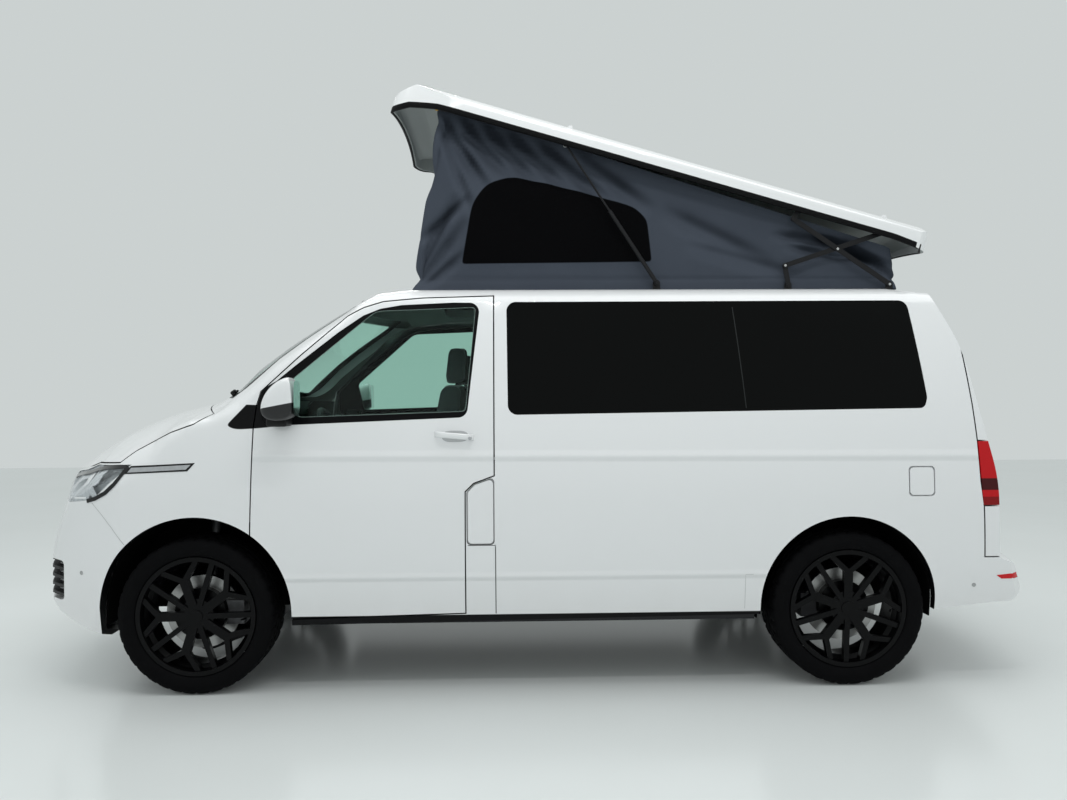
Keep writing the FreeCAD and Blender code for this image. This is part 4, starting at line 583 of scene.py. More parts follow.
DRESSED = {
    "screen_glass": "windscreen", "dark_glass": "side_glass", "tail_glass": "tailgate_glass",
    "door_glass": "door_glass_left door_glass_right", "roof_paint": "roof_panel", "wing_paint": "front_wings",
    "white_paint": "body_sides sliding_door front_door_left front_door_right",
    "bumper_paint": "front_bumper rear_bumper", "hood_paint": "bonnet tailgate",
    "flap_paint": "fuel_flap hookup_lid", "black_plastic": "mirror_left mirror_right grille",
    "lens_clear": "headlamps", "lamp_bowl": "lamp_housings", "red_lens": "tail_lamps",
    "arch_black": "arch_liners", "cast_iron": "engine_block", "pipe_steel": "exhaust",
    "frame_paint": "floor_pan chassis_frame front_subframe rear_axle", "roof_shell_white": "pop_roof_shell",
    "dash_plastic": "dashboard steering_wheel", "seat_cloth": "front_seats rear_bench",
    "cabinet_front": "kitchen_unit", "dark_metal": "knuckle_left knuckle_right",
    "link_black": "roof_brackets main_link cross_link lower_link upper_link strut_cylinder strut_rod",
    "rim_black": "rim_front_left rim_front_right rim_rear_left rim_rear_right"}
for name, dressed in DRESSED.items():
    for node in dressed.split():
        dress(node, materials[name])

# what a piece is made of: its material and its slot
TRIM = ("black_plastic", "black_trim")
PAINTED = ("flap_paint", "white_paint")
SEAM = ("faint_seam", "white_paint")
DARK_SEAM = ("seam_grey", "white_paint")
LAMP_DARK = ("gloss_black", "lamp_dark")
LAMP_PALE = ("lamp_white", "lamp_lens")
RED = ("reflector_red", "red_lens")
SEAT = ("seat_cloth", "seat_cloth")
TREAD = ("tyre_rubber", "tyre_rubber")

# --- canvas
MESH_WINDOW = [(-0.340, 1.998), (-0.288, 2.293), (-0.223, 2.385), (-0.098, 2.432), (0.143, 2.385),
               (0.511, 2.278), (0.571, 2.215), (0.593, 2.007)]
CANVAS_CORNER = 0.05
CANVAS_TUCK = 0.035
CANVAS_ROWS = 60
HEM_Z = 1.922


def canvas_cloth():
    """Blue-grey tent cloth with black insect mesh, a stitched hem round each side window and shade painted
    into the steep sides of its creases.
    """
    b = Builder("canvas_cloth")
    inside = b.polygon(MESH_WINDOW, 0.003)
    hem = b.polygon(MESH_WINDOW, 0.030)
    side = b.above(b.size(b.axes()["Y"]), CANVAS_Y - 0.06)
    base = b.blend(b.noise(7.0, 5.0), (0.064, 0.075, 0.096), (0.054, 0.064, 0.083))
    # painted shade: the cloth is darkened where the creases fall steeply
    shade = b.node("ShaderNodeAttribute", attribute_name="fold_shade").outputs["Fac"]
    base = b.blend(shade, base, (0.014, 0.017, 0.023))
    base = b.blend(b.both(inside, side), base, (0.0015, 0.0015, 0.0019))
    creases = b.bump(b.noise(16.0, 7.0, 0.6), 0.35, 0.006)
    fine = b.bump(b.noise(900.0, 2.0), 0.2, 0.0003, creases)
    b.set(Base_Color=base, Roughness=0.85, Specular_IOR_Level=0.05,
          Normal=b.bump(b.both(hem, side), 0.8, 0.004, fine))


def canvas_marks():
    """(wall, share along it, share of the quarter turn after it) marks round the canvas."""
    marks = []
    for wall, steps in enumerate((44, 150, 36, 150)):
        marks += [(wall, k / steps, 0.0) for k in range(steps)] + [(wall, 1.0, k / 6) for k in range(6)]
    return marks


def canvas_point(mark, t):
    """Where one mark lies at share t of the height, with the outward normal; wall 0 faces the nose."""
    wall, along, turn = mark
    x0 = lerp(CANVAS_FRONT_LOW.x, CANVAS_FRONT_HIGH.x, t)
    x1 = lerp(CANVAS_REAR_LOW.x, CANVAS_REAR_HIGH.x, t)
    ahead, back, reach = x0 + CANVAS_CORNER, x1 - CANVAS_CORNER, CANVAS_Y - CANVAS_CORNER
    centres = [Vector((ahead, -reach, 0)), Vector((back, -reach, 0)), Vector((back, reach, 0)),
               Vector((ahead, reach, 0))]
    angle = math.radians(180 + 90 * (wall + turn))
    normal = Vector((math.cos(angle), math.sin(angle), 0.0))
    flat = centres[wall - 1].lerp(centres[wall], along) + normal * CANVAS_CORNER
    share = (flat.x - x0) / (x1 - x0)
    low = lerp(CANVAS_FRONT_LOW.z, CANVAS_REAR_LOW.z, share)
    high = lerp(CANVAS_FRONT_HIGH.z, CANVAS_REAR_HIGH.z, share) + CANVAS_TUCK
    flat.z = lerp(low, high, t)
    return flat, normal


# creases of the side walls: start (x, z), end (x, z), width, depth
CREASES = [((-0.445, 2.700), (-0.300, 2.290), 0.016, 0.016), ((-0.430, 2.700), (-0.235, 2.400), 0.034, 0.034),
           ((-0.350, 2.690), (-0.085, 2.420), 0.036, 0.040), ((-0.240, 2.660), (0.040, 2.400), 0.038, 0.042),
           ((-0.120, 2.620), (0.190, 2.375), 0.036, 0.038), ((0.020, 2.580), (0.370, 2.330), 0.036, 0.032),
           ((0.200, 2.540), (0.560, 2.290), 0.036, 0.022), ((-0.600, 1.880), (-0.395, 2.290), 0.022, 0.030),
           ((-0.570, 1.880), (-0.350, 2.180), 0.024, 0.026), ((-0.530, 1.880), (-0.345, 2.040), 0.022, 0.020),
           ((-0.520, 2.130), (-0.330, 2.310), 0.020, 0.026), ((-0.530, 2.350), (-0.440, 2.620), 0.020, 0.016),
           ((1.300, 2.080), (1.640, 2.015), 0.018, 0.022), ((1.420, 2.120), (1.770, 1.985), 0.020, 0.026),
           ((1.560, 2.080), (1.800, 1.925), 0.018, 0.026), ((1.230, 2.140), (1.560, 2.090), 0.018, 0.018),
           ((0.700, 2.240), (1.150, 2.020), 0.040, 0.014), ((0.820, 2.080), (1.300, 1.945), 0.030, 0.010)]


def crease(x, z, start, end, width, depth):
    """Depth of one pulled fold: steep on its upper side, long on the other, fading at its ends."""
    run = Vector(end) - Vector(start)
    place = Vector((x, z)) - Vector(start)
    along = place.dot(run) / run.length_squared
    if along < -0.15 or along > 1.15:
        return 0.0
    off = (place.x * run.y - place.y * run.x) / run.length
    side_width = width * (0.70 if off < 0 else 1.25)
    fade = min(1.0, (along + 0.15) / 0.30, (1.15 - along) / 0.45)
    return 1.5 * depth * fade * math.exp(-(off / side_width) ** 2)


def ridge(value):
    """Soft crease that repeats with 1, from 0 to 1."""
    part = value - math.floor(value)
    return (1.0 - abs(2.0 * part - 1.0)) ** 1.6


def fold(x, z, y, t):
    """Depth of the folds at a place on the canvas, inwards."""
    shut = math.sin(math.pi * min(1.0, max(0.0, t)))
    depth = sum(crease(x, z, *one) for one in CREASES)
    # long slack waves, the stitched hem at the foot and upright folds in the end walls
    depth += 0.007 * shut * ridge(0.9 * x + 2.1 * z + 0.25 * math.sin(4.0 * x))
    wander = 2.0 * math.sin(2.3 * z + 1.7 * x)
    depth += 0.003 * shut * (0.5 + 0.5 * math.sin(17.0 * x - 11.0 * z + wander))
    depth += 0.006 * math.exp(-((z - HEM_Z) / 0.010) ** 2)
    if abs(y) < CANVAS_Y - 0.03:
        depth += 0.016 * shut * ridge(3.4 * y + 0.6 * z + 0.3 * math.sin(3.0 * z))
    return depth


def fold_shade(flat):
    """Painted shade: how dark a place is painted, from how steeply the creases fall there."""
    dx, dz = 0.012, 0.018
    step = sum(crease(flat.x - dx, flat.z - dz, *one) for one in CREASES)
    step -= sum(crease(flat.x + dx, flat.z + dz, *one) for one in CREASES)
    return min(1.0, max(0.0, 0.12 + 24.0 * step))


def make_canvas():
    canvas_cloth()
    marks = canvas_marks()
    verts, shades = [], []
    for k in range(CANVAS_ROWS + 1):
        t = k / CANVAS_ROWS
        held = min(1.0, 14 * t) * min(1.0, 12 * (1 - t))
        for mark in marks:
            flat, normal = canvas_point(mark, t)
            verts.append(flat - normal * fold(flat.x, flat.z, flat.y, t) * held)
            # painted shade of the creases, kept on each point
            shades.append(fold_shade(flat))
    faces = ring_quads(CANVAS_ROWS + 1, len(marks))
    obj = mesh_piece("canvas_skin", verts, faces, ("canvas_cloth", "canvas_cloth"), "van")
    obj.data.attributes.new("fold_shade", "FLOAT", "POINT").data.foreach_set("value", shades)
    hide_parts("canvas")
    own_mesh(obj)


make_canvas()


# --- seats
EDGE_PULL = 0.022
SEAM_DEPTH, SEAM_WIDTH = 0.009, 0.018


def padded_block(name, profile, y0, y1, steps=16, edge=0.05, crown=0.008, grooves=()):
    """Upholstered block: an outline (x, z) swept across, drawn in at its ends, crowned between seams."""
    cx = sum(p[0] for p in profile) / len(profile)
    cz = sum(p[1] for p in profile) / len(profile)
    outline = []
    for p, after in zip(profile, profile[1:] + profile[:1]):
        outline += [(lerp(p[0], after[0], s / 4), lerp(p[1], after[1], s / 4)) for s in range(4)]
    ends = [0.0, 0.006, 0.018, 0.04, 0.96, 0.982, 0.994, 1.0]
    marks = sorted(ends + [0.04 + 0.92 * k / steps for k in range(1, steps)])
    verts = []
    for u in marks:
        close = min(u, 1.0 - u) * (y1 - y0)
        shrink = EDGE_PULL * max(0.0, 1.0 - close / edge) ** 2.2
        swell = crown * min(1.0, close / 0.10)
        for seam in grooves:
            swell -= SEAM_DEPTH * math.exp(-((u - seam) / SEAM_WIDTH) ** 2)
        for x, z in outline:
            away = Vector((x - cx, z - cz))
            out = away / away.length * (swell - shrink)
            verts.append((x + out.x, lerp(y0, y1, u), z + out.y))
    rings, count = len(marks), len(outline)
    obj = mesh_piece(name, verts, ring_quads(rings, count) + ring_ends(rings, count), SEAT, "van")
    subdivide(obj, "soft")


def seat_outline(shares, place):
    return [((u + place) * HALF_LENGTH, v * ROOF_Z) for u, v in shares]


SEAT_PLACE, BENCH_PLACE = -0.2855, 0.5098
SEAT_Y = 0.430
BENCH_YS = (-0.332, 0.452)
FRONT_SEAMS, BENCH_SEAMS = (0.22, 0.78), (0.33, 0.67)
CUSHION = [(-0.106, 0.3753), (-0.1101, 0.4357), (0.0938, 0.42), (0.0938, 0.3753)]
BACK = [(0.053, 0.4042), (0.106, 0.7349), (0.1468, 0.7349), (0.1101, 0.378)]
HEAD = [(0.1101, 0.7454), (0.1183, 0.8346), (0.1509, 0.8346), (0.1509, 0.7454)]
BENCH_CUSHION = [(-0.1223, 0.4147), (-0.1223, 0.4724), (0.102, 0.4619), (0.102, 0.4147)]
BENCH_BACK = [(0.0693, 0.4462), (0.1223, 0.7874), (0.1631, 0.7874), (0.1264, 0.4147)]
for name, side in SIDES:
    y = side * SEAT_Y
    for part, shares, half in (("cushion", CUSHION, 0.247), ("back", BACK, 0.232)):
        padded_block("seat_%s_%s" % (part, name), seat_outline(shares, SEAT_PLACE), y - half, y + half,
                     grooves=FRONT_SEAMS)
    padded_block("seat_head_" + name, seat_outline(HEAD, SEAT_PLACE), y - 0.132, y + 0.132, 8, 0.04, 0.004)
padded_block("bench_cushion", seat_outline(BENCH_CUSHION, BENCH_PLACE), *BENCH_YS, grooves=BENCH_SEAMS)
padded_block("bench_back", seat_outline(BENCH_BACK, BENCH_PLACE), *BENCH_YS, grooves=BENCH_SEAMS)


# --- finding the panels
PLATE_RINGS = 4
trees = {}


def tree_of(node):
    if node not in trees:
        mesh = nodes[node].data
        polygons = [tuple(p.vertices) for p in mesh.polygons]
        trees[node] = BVHTree.FromPolygons([v.co for v in mesh.vertices], polygons)
    return trees[node]


def hit(found_on, origin, direction):
    """First point and outward normal along a ray, on one CAD node or the nearest of several."""
    names = (found_on,) if isinstance(found_on, str) else found_on
    found = [tree_of(name).ray_cast(Vector(origin), Vector(direction).normalized()) for name in names]
    found = [f for f in found if f[0] is not None]
    if not found:
        raise ValueError("no surface of " + str(names) + " at " + str(tuple(origin)))
    point, normal, _, _ = min(found, key=lambda f: f[3])
    return point, -normal if normal.dot(Vector(direction)) > 0 else normal


def side_at(node, x, z, side):
    """Point on the outside of a side panel; side is -1 for the left."""
    return hit(node, (x, side * 2.0, z), (0, -side, 0))


def front_hit(node, y, z):
    return hit(node, (-4.0, y, z), (1, 0, 0))


def rear_hit(node, y, z):
    return hit(node, (4.0, y, z), (-1, 0, 0))


def side_plate(name, node, outline, lift, skin, depth, soft, step=None, side=-1, body="van"):
    """A thin plate that follows a side panel inside an outline of (x, z) points."""
    if step:
        outline = spaced(outline, step, closed=True)
    count = len(outline)
    centre = Vector((sum(p[0] for p in outline) / count, sum(p[1] for p in outline) / count))

    def lifted(p, extra):
        point, _ = side_at(node, p[0], p[1], side)
        return Vector((point.x, point.y + side * extra, point.z))

    verts = [lifted(centre, lift)]
    for share, extra in [(k / PLATE_RINGS, lift) for k in range(1, PLATE_RINGS + 1)] + [(1.0, lift - depth)]:
        verts += [lifted(centre + (Vector(p) - centre) * share, extra) for p in outline]
    faces = [(0, 1 + s, 1 + (s + 1) % count) for s in range(count)]
    for k in range(PLATE_RINGS):
        for s in range(count):
            a, b = 1 + k * count + s, 1 + k * count + (s + 1) % count
            faces.append((a, a + count, b + count, b))
    if side < 0:
        faces = [f[::-1] for f in faces]
    return add_bevel(mesh_piece(name, verts, faces, skin, body), soft)


def ribbon(name, node, path, width, skin, lift, step=0.03, side=-1):
    """A thin strip on a side panel along a line of (x, z) points, as far as the panel goes."""
    points = spaced(path, step)
    verts = []
    for k, point in enumerate(points):
        along = (points[min(k + 1, len(points) - 1)] - points[max(k - 1, 0)]).normalized()
        across = Vector((-along.y, along.x)) * (width / 2)
        try:
            pair = [side_at(node, *(point + shift), side)[0] for shift in (across, -across)]
        except ValueError:
            continue
        verts += [(at.x, at.y + side * lift, at.z) for at in pair]
    quads = [(2 * k, 2 * k + 2, 2 * k + 3, 2 * k + 1) for k in range(len(verts) // 2 - 1)]
    return mesh_piece(name, verts, [q if side < 0 else q[::-1] for q in quads], skin, "van")


# --- tyres and wheels
TYRE_SIDE = [(-0.104, 0.273, ""), (-0.114, 0.279, ""), (-0.120, 0.292, ""), (-0.1235, 0.308, ""),
             (-0.1245, 0.318, "rib"), (-0.1240, 0.322, ""), (-0.1225, 0.333, ""), (-0.117, 0.344, ""),
             (-0.110, 0.3505, "land"), (-0.100, 0.3535, "land")]
TREAD_LANDS = [(-0.100, -0.066), (-0.057, -0.020), (-0.011, 0.011), (0.020, 0.057), (0.066, 0.100)]
CROWN_RADIUS, CROWN_DROP = 0.3560, 0.0025
GROOVE_DEPTH = 0.0075
SHOULDER_CUT, INNER_CUT, RIB_PROUD = 0.0055, 0.0040, 0.0008
TREAD_LAG = 0.10
TYRE_STEPS = 180
BOLTS, BOLT_CIRCLE = 5, 0.060
BOLT_Y, CAP_Y, VALVE_Y = 0.884, 0.9125, 0.880
BOLT_RINGS = [(0.0, 0.0125), (0.010, 0.0125), (0.013, 0.009), (0.0135, 0.004)]
CAP_RINGS = [(-0.004, 0.036), (0.0015, 0.036), (0.004, 0.032), (0.0052, 0.018), (0.0056, 0.002)]
VALVE_RINGS = [(0, 0.0045), (0.03, 0.0045), (0.034, 0.003)]


def tyre_profile():
    """(offset across, radius, kind) from the inner bead to the outer; kind marks tread lands and grooves."""
    def crown(y):
        return CROWN_RADIUS - CROWN_DROP * (y / 0.100) ** 2

    tread = []
    for k, (a, b) in enumerate(TREAD_LANDS):
        tread += [(y, crown(y), "land") for y in (a, (a + b) / 2, b)]
        if k < len(TREAD_LANDS) - 1:
            floor = crown(b) - GROOVE_DEPTH, crown(TREAD_LANDS[k + 1][0]) - GROOVE_DEPTH
            tread += [(b + 0.001, floor[0], "groove"), (TREAD_LANDS[k + 1][0] - 0.001, floor[1], "groove")]
    return TYRE_SIDE + tread[1:-1] + [(-y, r, kind) for y, r, kind in reversed(TYRE_SIDE)]


def tread_cut(kind, across, k):
    """Depth of the cross cuts at step k round the tyre; the sidewall rib stands proud."""
    if kind == "land" and across > 0.060 and k % 5 == 0:
        return SHOULDER_CUT
    if kind == "land" and 0.015 < across <= 0.060 and (k + 2) % 4 == 0:
        return INNER_CUT
    return -RIB_PROUD if kind == "rib" else 0.0


def make_tyre(name, x, side, body):
    profile = tyre_profile()
    verts = []
    for k in range(TYRE_STEPS):
        angle = 2 * math.pi * k / TYRE_STEPS
        for y, radius, kind in profile:
            r = radius - tread_cut(kind, abs(y), k)
            lag = angle + (TREAD_LAG * (abs(y) - 0.05) if kind in ("land", "groove") else 0.0)
            verts.append((x + r * math.cos(lag), side * (HALF_TRACK + y), AXLE_Z + r * math.sin(lag)))
    faces = ring_quads(TYRE_STEPS, len(profile), flip=side < 0, around=True)
    obj = split_edges(mesh_piece("tread_" + name, verts, faces, TREAD, body), 38)
    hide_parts("tyre_" + name)


def make_wheel(name, x, side, body):
    make_tyre(name, x, side, body)
    out = (0, side, 0)
    for k in range(BOLTS):
        angle = 2 * math.pi * (k + 0.5) / BOLTS + math.radians(18)
        at = (x + BOLT_CIRCLE * math.cos(angle), side * BOLT_Y, AXLE_Z + BOLT_CIRCLE * math.sin(angle))
        verts, faces = disc_mesh(at, out, BOLT_RINGS, 6)
        mesh_piece("bolt_%s_%d" % (name, k), verts, faces, ("bolt_steel", "rim_black"), body, smooth=False)
    turned("cap_" + name, (x, side * CAP_Y, AXLE_Z), out, CAP_RINGS, ("rim_black", "rim_black"), body, 40)
    valve = (x + 0.215, side * VALVE_Y, AXLE_Z - 0.02)
    turned("valve_" + name, valve, (-0.5, side, 0), VALVE_RINGS, ("seal_rubber", "tyre_rubber"), body, 10)


for end, x in (("front", FRONT_AXLE_X), ("rear", REAR_AXLE_X)):
    for name, side in SIDES:
        make_wheel(end + "_" + name, x, side, "wheel_" + end + "_" + name)


# --- rubber edge of the roof shell
SEAL_HEIGHT = 0.024
SEAL_PROUD = 0.0014
SEAL_INSIDE = 0.0135
LOWEST_RIM, RIM_STEP, RIM_TRIES = 1.60, 0.004, 84
SIDE_RAYS, NOSE_RAYS, TAIL_RAYS = 60, 147, 24
SHELL_NOSE_X, SHELL_SIDE_LENGTH, SHELL_TAIL_WIDTH = -0.20, 2.06, 1.28


def raised(x, y, z):
    """Where a point of the shut roof shell lies with the roof raised."""
    dx, dz = x - POLE_X, z - POLE_Z
    c, s = math.cos(ROOF_LIFT), math.sin(ROOF_LIFT)
    return Vector((POLE_X + dx * c + dz * s, y, POLE_Z - dx * s + dz * c))


def shell_rays():
    """(start, direction) pairs round the shut shell: left side, nose, right side and tail."""
    start, length, width = SHELL_NOSE_X, SHELL_SIDE_LENGTH, SHELL_TAIL_WIDTH
    rays = [(Vector((start + length - length * k / SIDE_RAYS, -1.2, 0.0)), Vector((0, 1, 0)))
            for k in range(SIDE_RAYS)]
    for k in range(NOSE_RAYS):
        angle = math.radians(-90 + 180 * (k + 0.5) / NOSE_RAYS)
        out = Vector((-math.cos(angle), math.sin(angle), 0.0))
        rays.append((Vector((start - 0.02, 0.0, 0.0)) + out * 1.5, -out))
    rays += [(Vector((start + length * (k + 1) / SIDE_RAYS, 1.2, 0.0)), Vector((0, -1, 0)))
             for k in range(SIDE_RAYS)]
    rays += [(Vector((2.5, width / 2 - width * (k + 0.5) / TAIL_RAYS, 0.0)), Vector((-1, 0, 0)))
             for k in range(TAIL_RAYS)]
    return rays


def shell_wall(ray, z):
    """Outer face of the shell on one ray at a height of the shut roof, or None below its rim."""
    start, along = ray
    origin = raised(start.x, start.y, z)
    ahead = raised(start.x + along.x, start.y + along.y, z) - origin
    point, _, _, distance = tree_of("pop_roof_shell").ray_cast(origin, ahead)
    return None if point is None or distance > 1.05 else start + along * distance


def shell_foot(ray):
    """Height of the shut shell's lower edge on one ray, from which the wall goes on upwards."""
    heights = [LOWEST_RIM + RIM_STEP * k for k in range(RIM_TRIES)]
    found = [shell_wall(ray, z) is not None for z in heights]
    first = next(k for k in range(len(found) - 3) if all(found[k:k + 3]))
    low, high = heights[first] - RIM_STEP, heights[first]
    for _ in range(8):
        middle = (low + high) / 2
        low, high = (middle, high) if shell_wall(ray, middle) is None else (low, middle)
    return high


def rim_seal():
    """Black rubber edge along the foot of the roof shell, outside, under and inside."""
    verts, faces = [], []
    rays = shell_rays()
    feet = [shell_foot(ray) for ray in rays]
    for k, ray in enumerate(rays):
        usual = sorted(feet[(k + step) % len(feet)] for step in (-2, -1, 0, 1, 2))[2]
        high = feet[k] if abs(feet[k] - usual) < 0.006 else usual
        while shell_wall(ray, high + 0.0006) is None:
            high += 0.001
        foot = shell_wall(ray, high + 0.0006)
        upper = shell_wall(ray, high + SEAL_HEIGHT) or foot
        low = high - 0.0004
        for place, push, z in ((upper, -0.0012, high + SEAL_HEIGHT), (foot, -SEAL_PROUD, low),
                               (foot, SEAL_INSIDE, low), (foot, SEAL_INSIDE, high + 0.010)):
            verts.append(raised(place.x + ray[1].x * push, place.y + ray[1].y * push, z))
    for k in range(len(rays)):
        a, b = 4 * k, 4 * ((k + 1) % len(rays))
        faces += [(a + j, b + j, b + j + 1, a + j + 1) for j in range(3)]
    return mesh_piece("roof_rim_seal", verts, faces, ("seal_rubber", "black_trim"), "pop_roof")


rim_seal()

# --- mirrors
MIRROR_PROFILE = [(-1.199, 1.303), (-1.192, 1.335), (-1.180, 1.364), (-1.161, 1.390), (-1.138, 1.413),
                  (-1.110, 1.431), (-1.085, 1.440), (-1.066, 1.441), (-1.060, 1.425), (-1.054, 1.380),
                  (-1.050, 1.336), (-1.049, 1.300), (-1.056, 1.270), (-1.078, 1.256), (-1.110, 1.250),
                  (-1.150, 1.250), (-1.180, 1.262), (-1.194, 1.280)]
MIRROR_REAR_X, MIRROR_Y, MIRROR_Z = -1.050, 1.0700, 1.345
MIRROR_HALF_WIDTH = 0.0760
MIRROR_STEPS = 14
PANE_Z, PANE_HALF_WIDTH, PANE_HALF_HEIGHT, PANE_SIDES = 1.347, 0.058, 0.078, 32


def mirror_paint():
    """White cap over a black foot, parted by a sloped line."""
    b = Builder("mirror_paint")
    axes = b.axes()
    line = b.math("MULTIPLY_ADD", axes["X"], -0.18, -1.5188)
    cap = b.remap(b.math("ADD", axes["Z"], line), -0.0008, 0.0008)
    b.set(Base_Color=b.blend(cap, (0.010, 0.010, 0.011), WHITE), Roughness=b.remap(cap, 0.0, 1.0, 0.5, 0.25),
          Coat_Weight=cap, Coat_Roughness=0.04)


def make_mirror(name, side, body):
    """Rounded mirror head on a short arm, with a bare glass in its rear face."""
    verts = []
    for k in range(MIRROR_STEPS + 1):
        across = -1.0 + 2.0 * k / MIRROR_STEPS
        squeeze = max(0.0, 1.0 - abs(across) ** 3.2) ** 0.45
        depth = 0.18 + 0.82 * squeeze
        tall = 0.62 + 0.38 * squeeze
        y = side * (MIRROR_Y + MIRROR_HALF_WIDTH * across)
        verts += [(lerp(MIRROR_REAR_X, x, depth), y, lerp(MIRROR_Z, z, tall)) for x, z in MIRROR_PROFILE]
    size = MIRROR_STEPS + 1, len(MIRROR_PROFILE), side > 0
    quads = ring_quads(*size)
    if side > 0:  # their first corner decides along which diagonal they are split
        quads = [quad[-1:] + quad[:-1] for quad in quads]
    skin = ("mirror_paint", "mirror_body")
    head = mesh_piece("mirror_head_" + name, verts, quads + ring_ends(*size), skin, body)
    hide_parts("mirror_" + name)
    subdivide(head, "rounding")
    verts = [(MIRROR_REAR_X + 0.0065, side * (MIRROR_Y + rounded(c, 0.45) * PANE_HALF_WIDTH),
              PANE_Z + rounded(s, 0.45) * PANE_HALF_HEIGHT) for c, s in circle(PANE_SIDES)]
    faces = [tuple(range(PANE_SIDES))[::side]]
    mesh_piece("mirror_glass_" + name, verts, faces, ("mirror_silver", "mirror_body"), body, smooth=False)
    low, _ = side_at("front_door_" + name, -1.150, 1.190, side)
    arm = box_piece("mirror_arm_" + name, (-1.190, -1.098), (side * (abs(low.y) - 0.045), side * 1.040),
                    (1.222, 1.262), ("black_plastic", "mirror_body"), body)
    add_bevel(arm, 0.012, 3)


mirror_paint()
for name, side in SIDES:
    make_mirror(name, side, "door_" + name)


# --- handles, lamps and trim on the sides
HANDLE_HEIGHT, HANDLE_STAND, HANDLE_THICK = 0.027, 0.034, 0.011
HANDLE_STEPS, HANDLE_RING = 22, 12


def oval(cx, cz, rx, rz):
    """Rounded outline of (x, z) points."""
    return [(cx + rounded(c, 0.7) * rx, cz + rounded(s, 0.7) * rz) for c, s in circle(28)]


def bowed_bar(name, node, x0, x1, z0, z1, side, skin, body):
    """Pull handle that bows away from its panel and returns to it at both ends."""
    verts = []
    for k in range(HANDLE_STEPS + 1):
        u = k / HANDLE_STEPS
        x, z = lerp(x0, x1, u), lerp(z0, z1, u)
        at, _ = side_at(node, x, z, side)
        away = HANDLE_STAND * min(1.0, (1.0 - abs(2 * u - 1) ** 7) * 1.02)
        thick = HANDLE_THICK * (0.55 + 0.45 * (1.0 - abs(2 * u - 1) ** 5))
        for c, s in circle(HANDLE_RING):
            out = rounded(c, 0.7) * thick / 2
            verts.append((x, at.y + side * (away + out - 0.004), z + rounded(s, 0.7) * HANDLE_HEIGHT / 2))
    size = HANDLE_STEPS + 1, HANDLE_RING, side > 0
    return mesh_piece(name, verts, ring_quads(*size) + ring_ends(*size), skin, body)


def door_handle(name, node, x0, x1, z0, z1, side, body):
    """Pull handle over a bowl painted grey as its shade, with a lock at its end."""
    bowl = oval((x0 + x1) / 2 + 0.004, (z0 + z1) / 2 - 0.003, 0.060, 0.026)
    # the bowl plate is painted grey as the shade in the recess
    skin = ("painted_bowl_shade", "white_paint")
    side_plate(name + "_bowl", node, bowl, 0.0008, skin, 0.0012, 0.0003, None, side, body)
    bowed_bar(name + "_bar", node, x0, x1, z0, z1, side, PAINTED, body)
    at, _ = side_at(node, x1 - 0.018, z1 - 0.002, side)
    turned(name + "_lock", (at.x, at.y + side * 0.030, at.z), (0, side, 0),
           [(0.0, 0.0085), (0.0045, 0.0085), (0.006, 0.007)], ("flat_silver", "white_paint"), body, 20)


door_handle("handle_left", "front_door_left", -0.455, -0.272, 1.181, 1.164, -1, "door_left")
door_handle("handle_right", "front_door_right", -0.455, -0.272, 1.181, 1.164, 1, "door_right")
door_handle("handle_slide", "sliding_door", 0.165, -0.020, 1.164, 1.168, 1, "van")

SENSOR_RADIUS = 0.0095
SENSOR_RINGS = [(-0.002, 1.0), (0.0012, 1.0), (0.0016, 0.86), (0.0004, 0.80), (0.0012, 0.5)]


def sensor(name, node, x, z, side):
    """Parking sensor: a flat disc with a faint ring."""
    at, normal = side_at(node, x, z, side)
    rings = [(offset, SENSOR_RADIUS * share) for offset, share in SENSOR_RINGS]
    turned(name, at + normal * 0.0006, normal, rings, SEAM, "van", 20)


AROUND_LAMP = ("headlamps", "front_wings", "front_bumper")
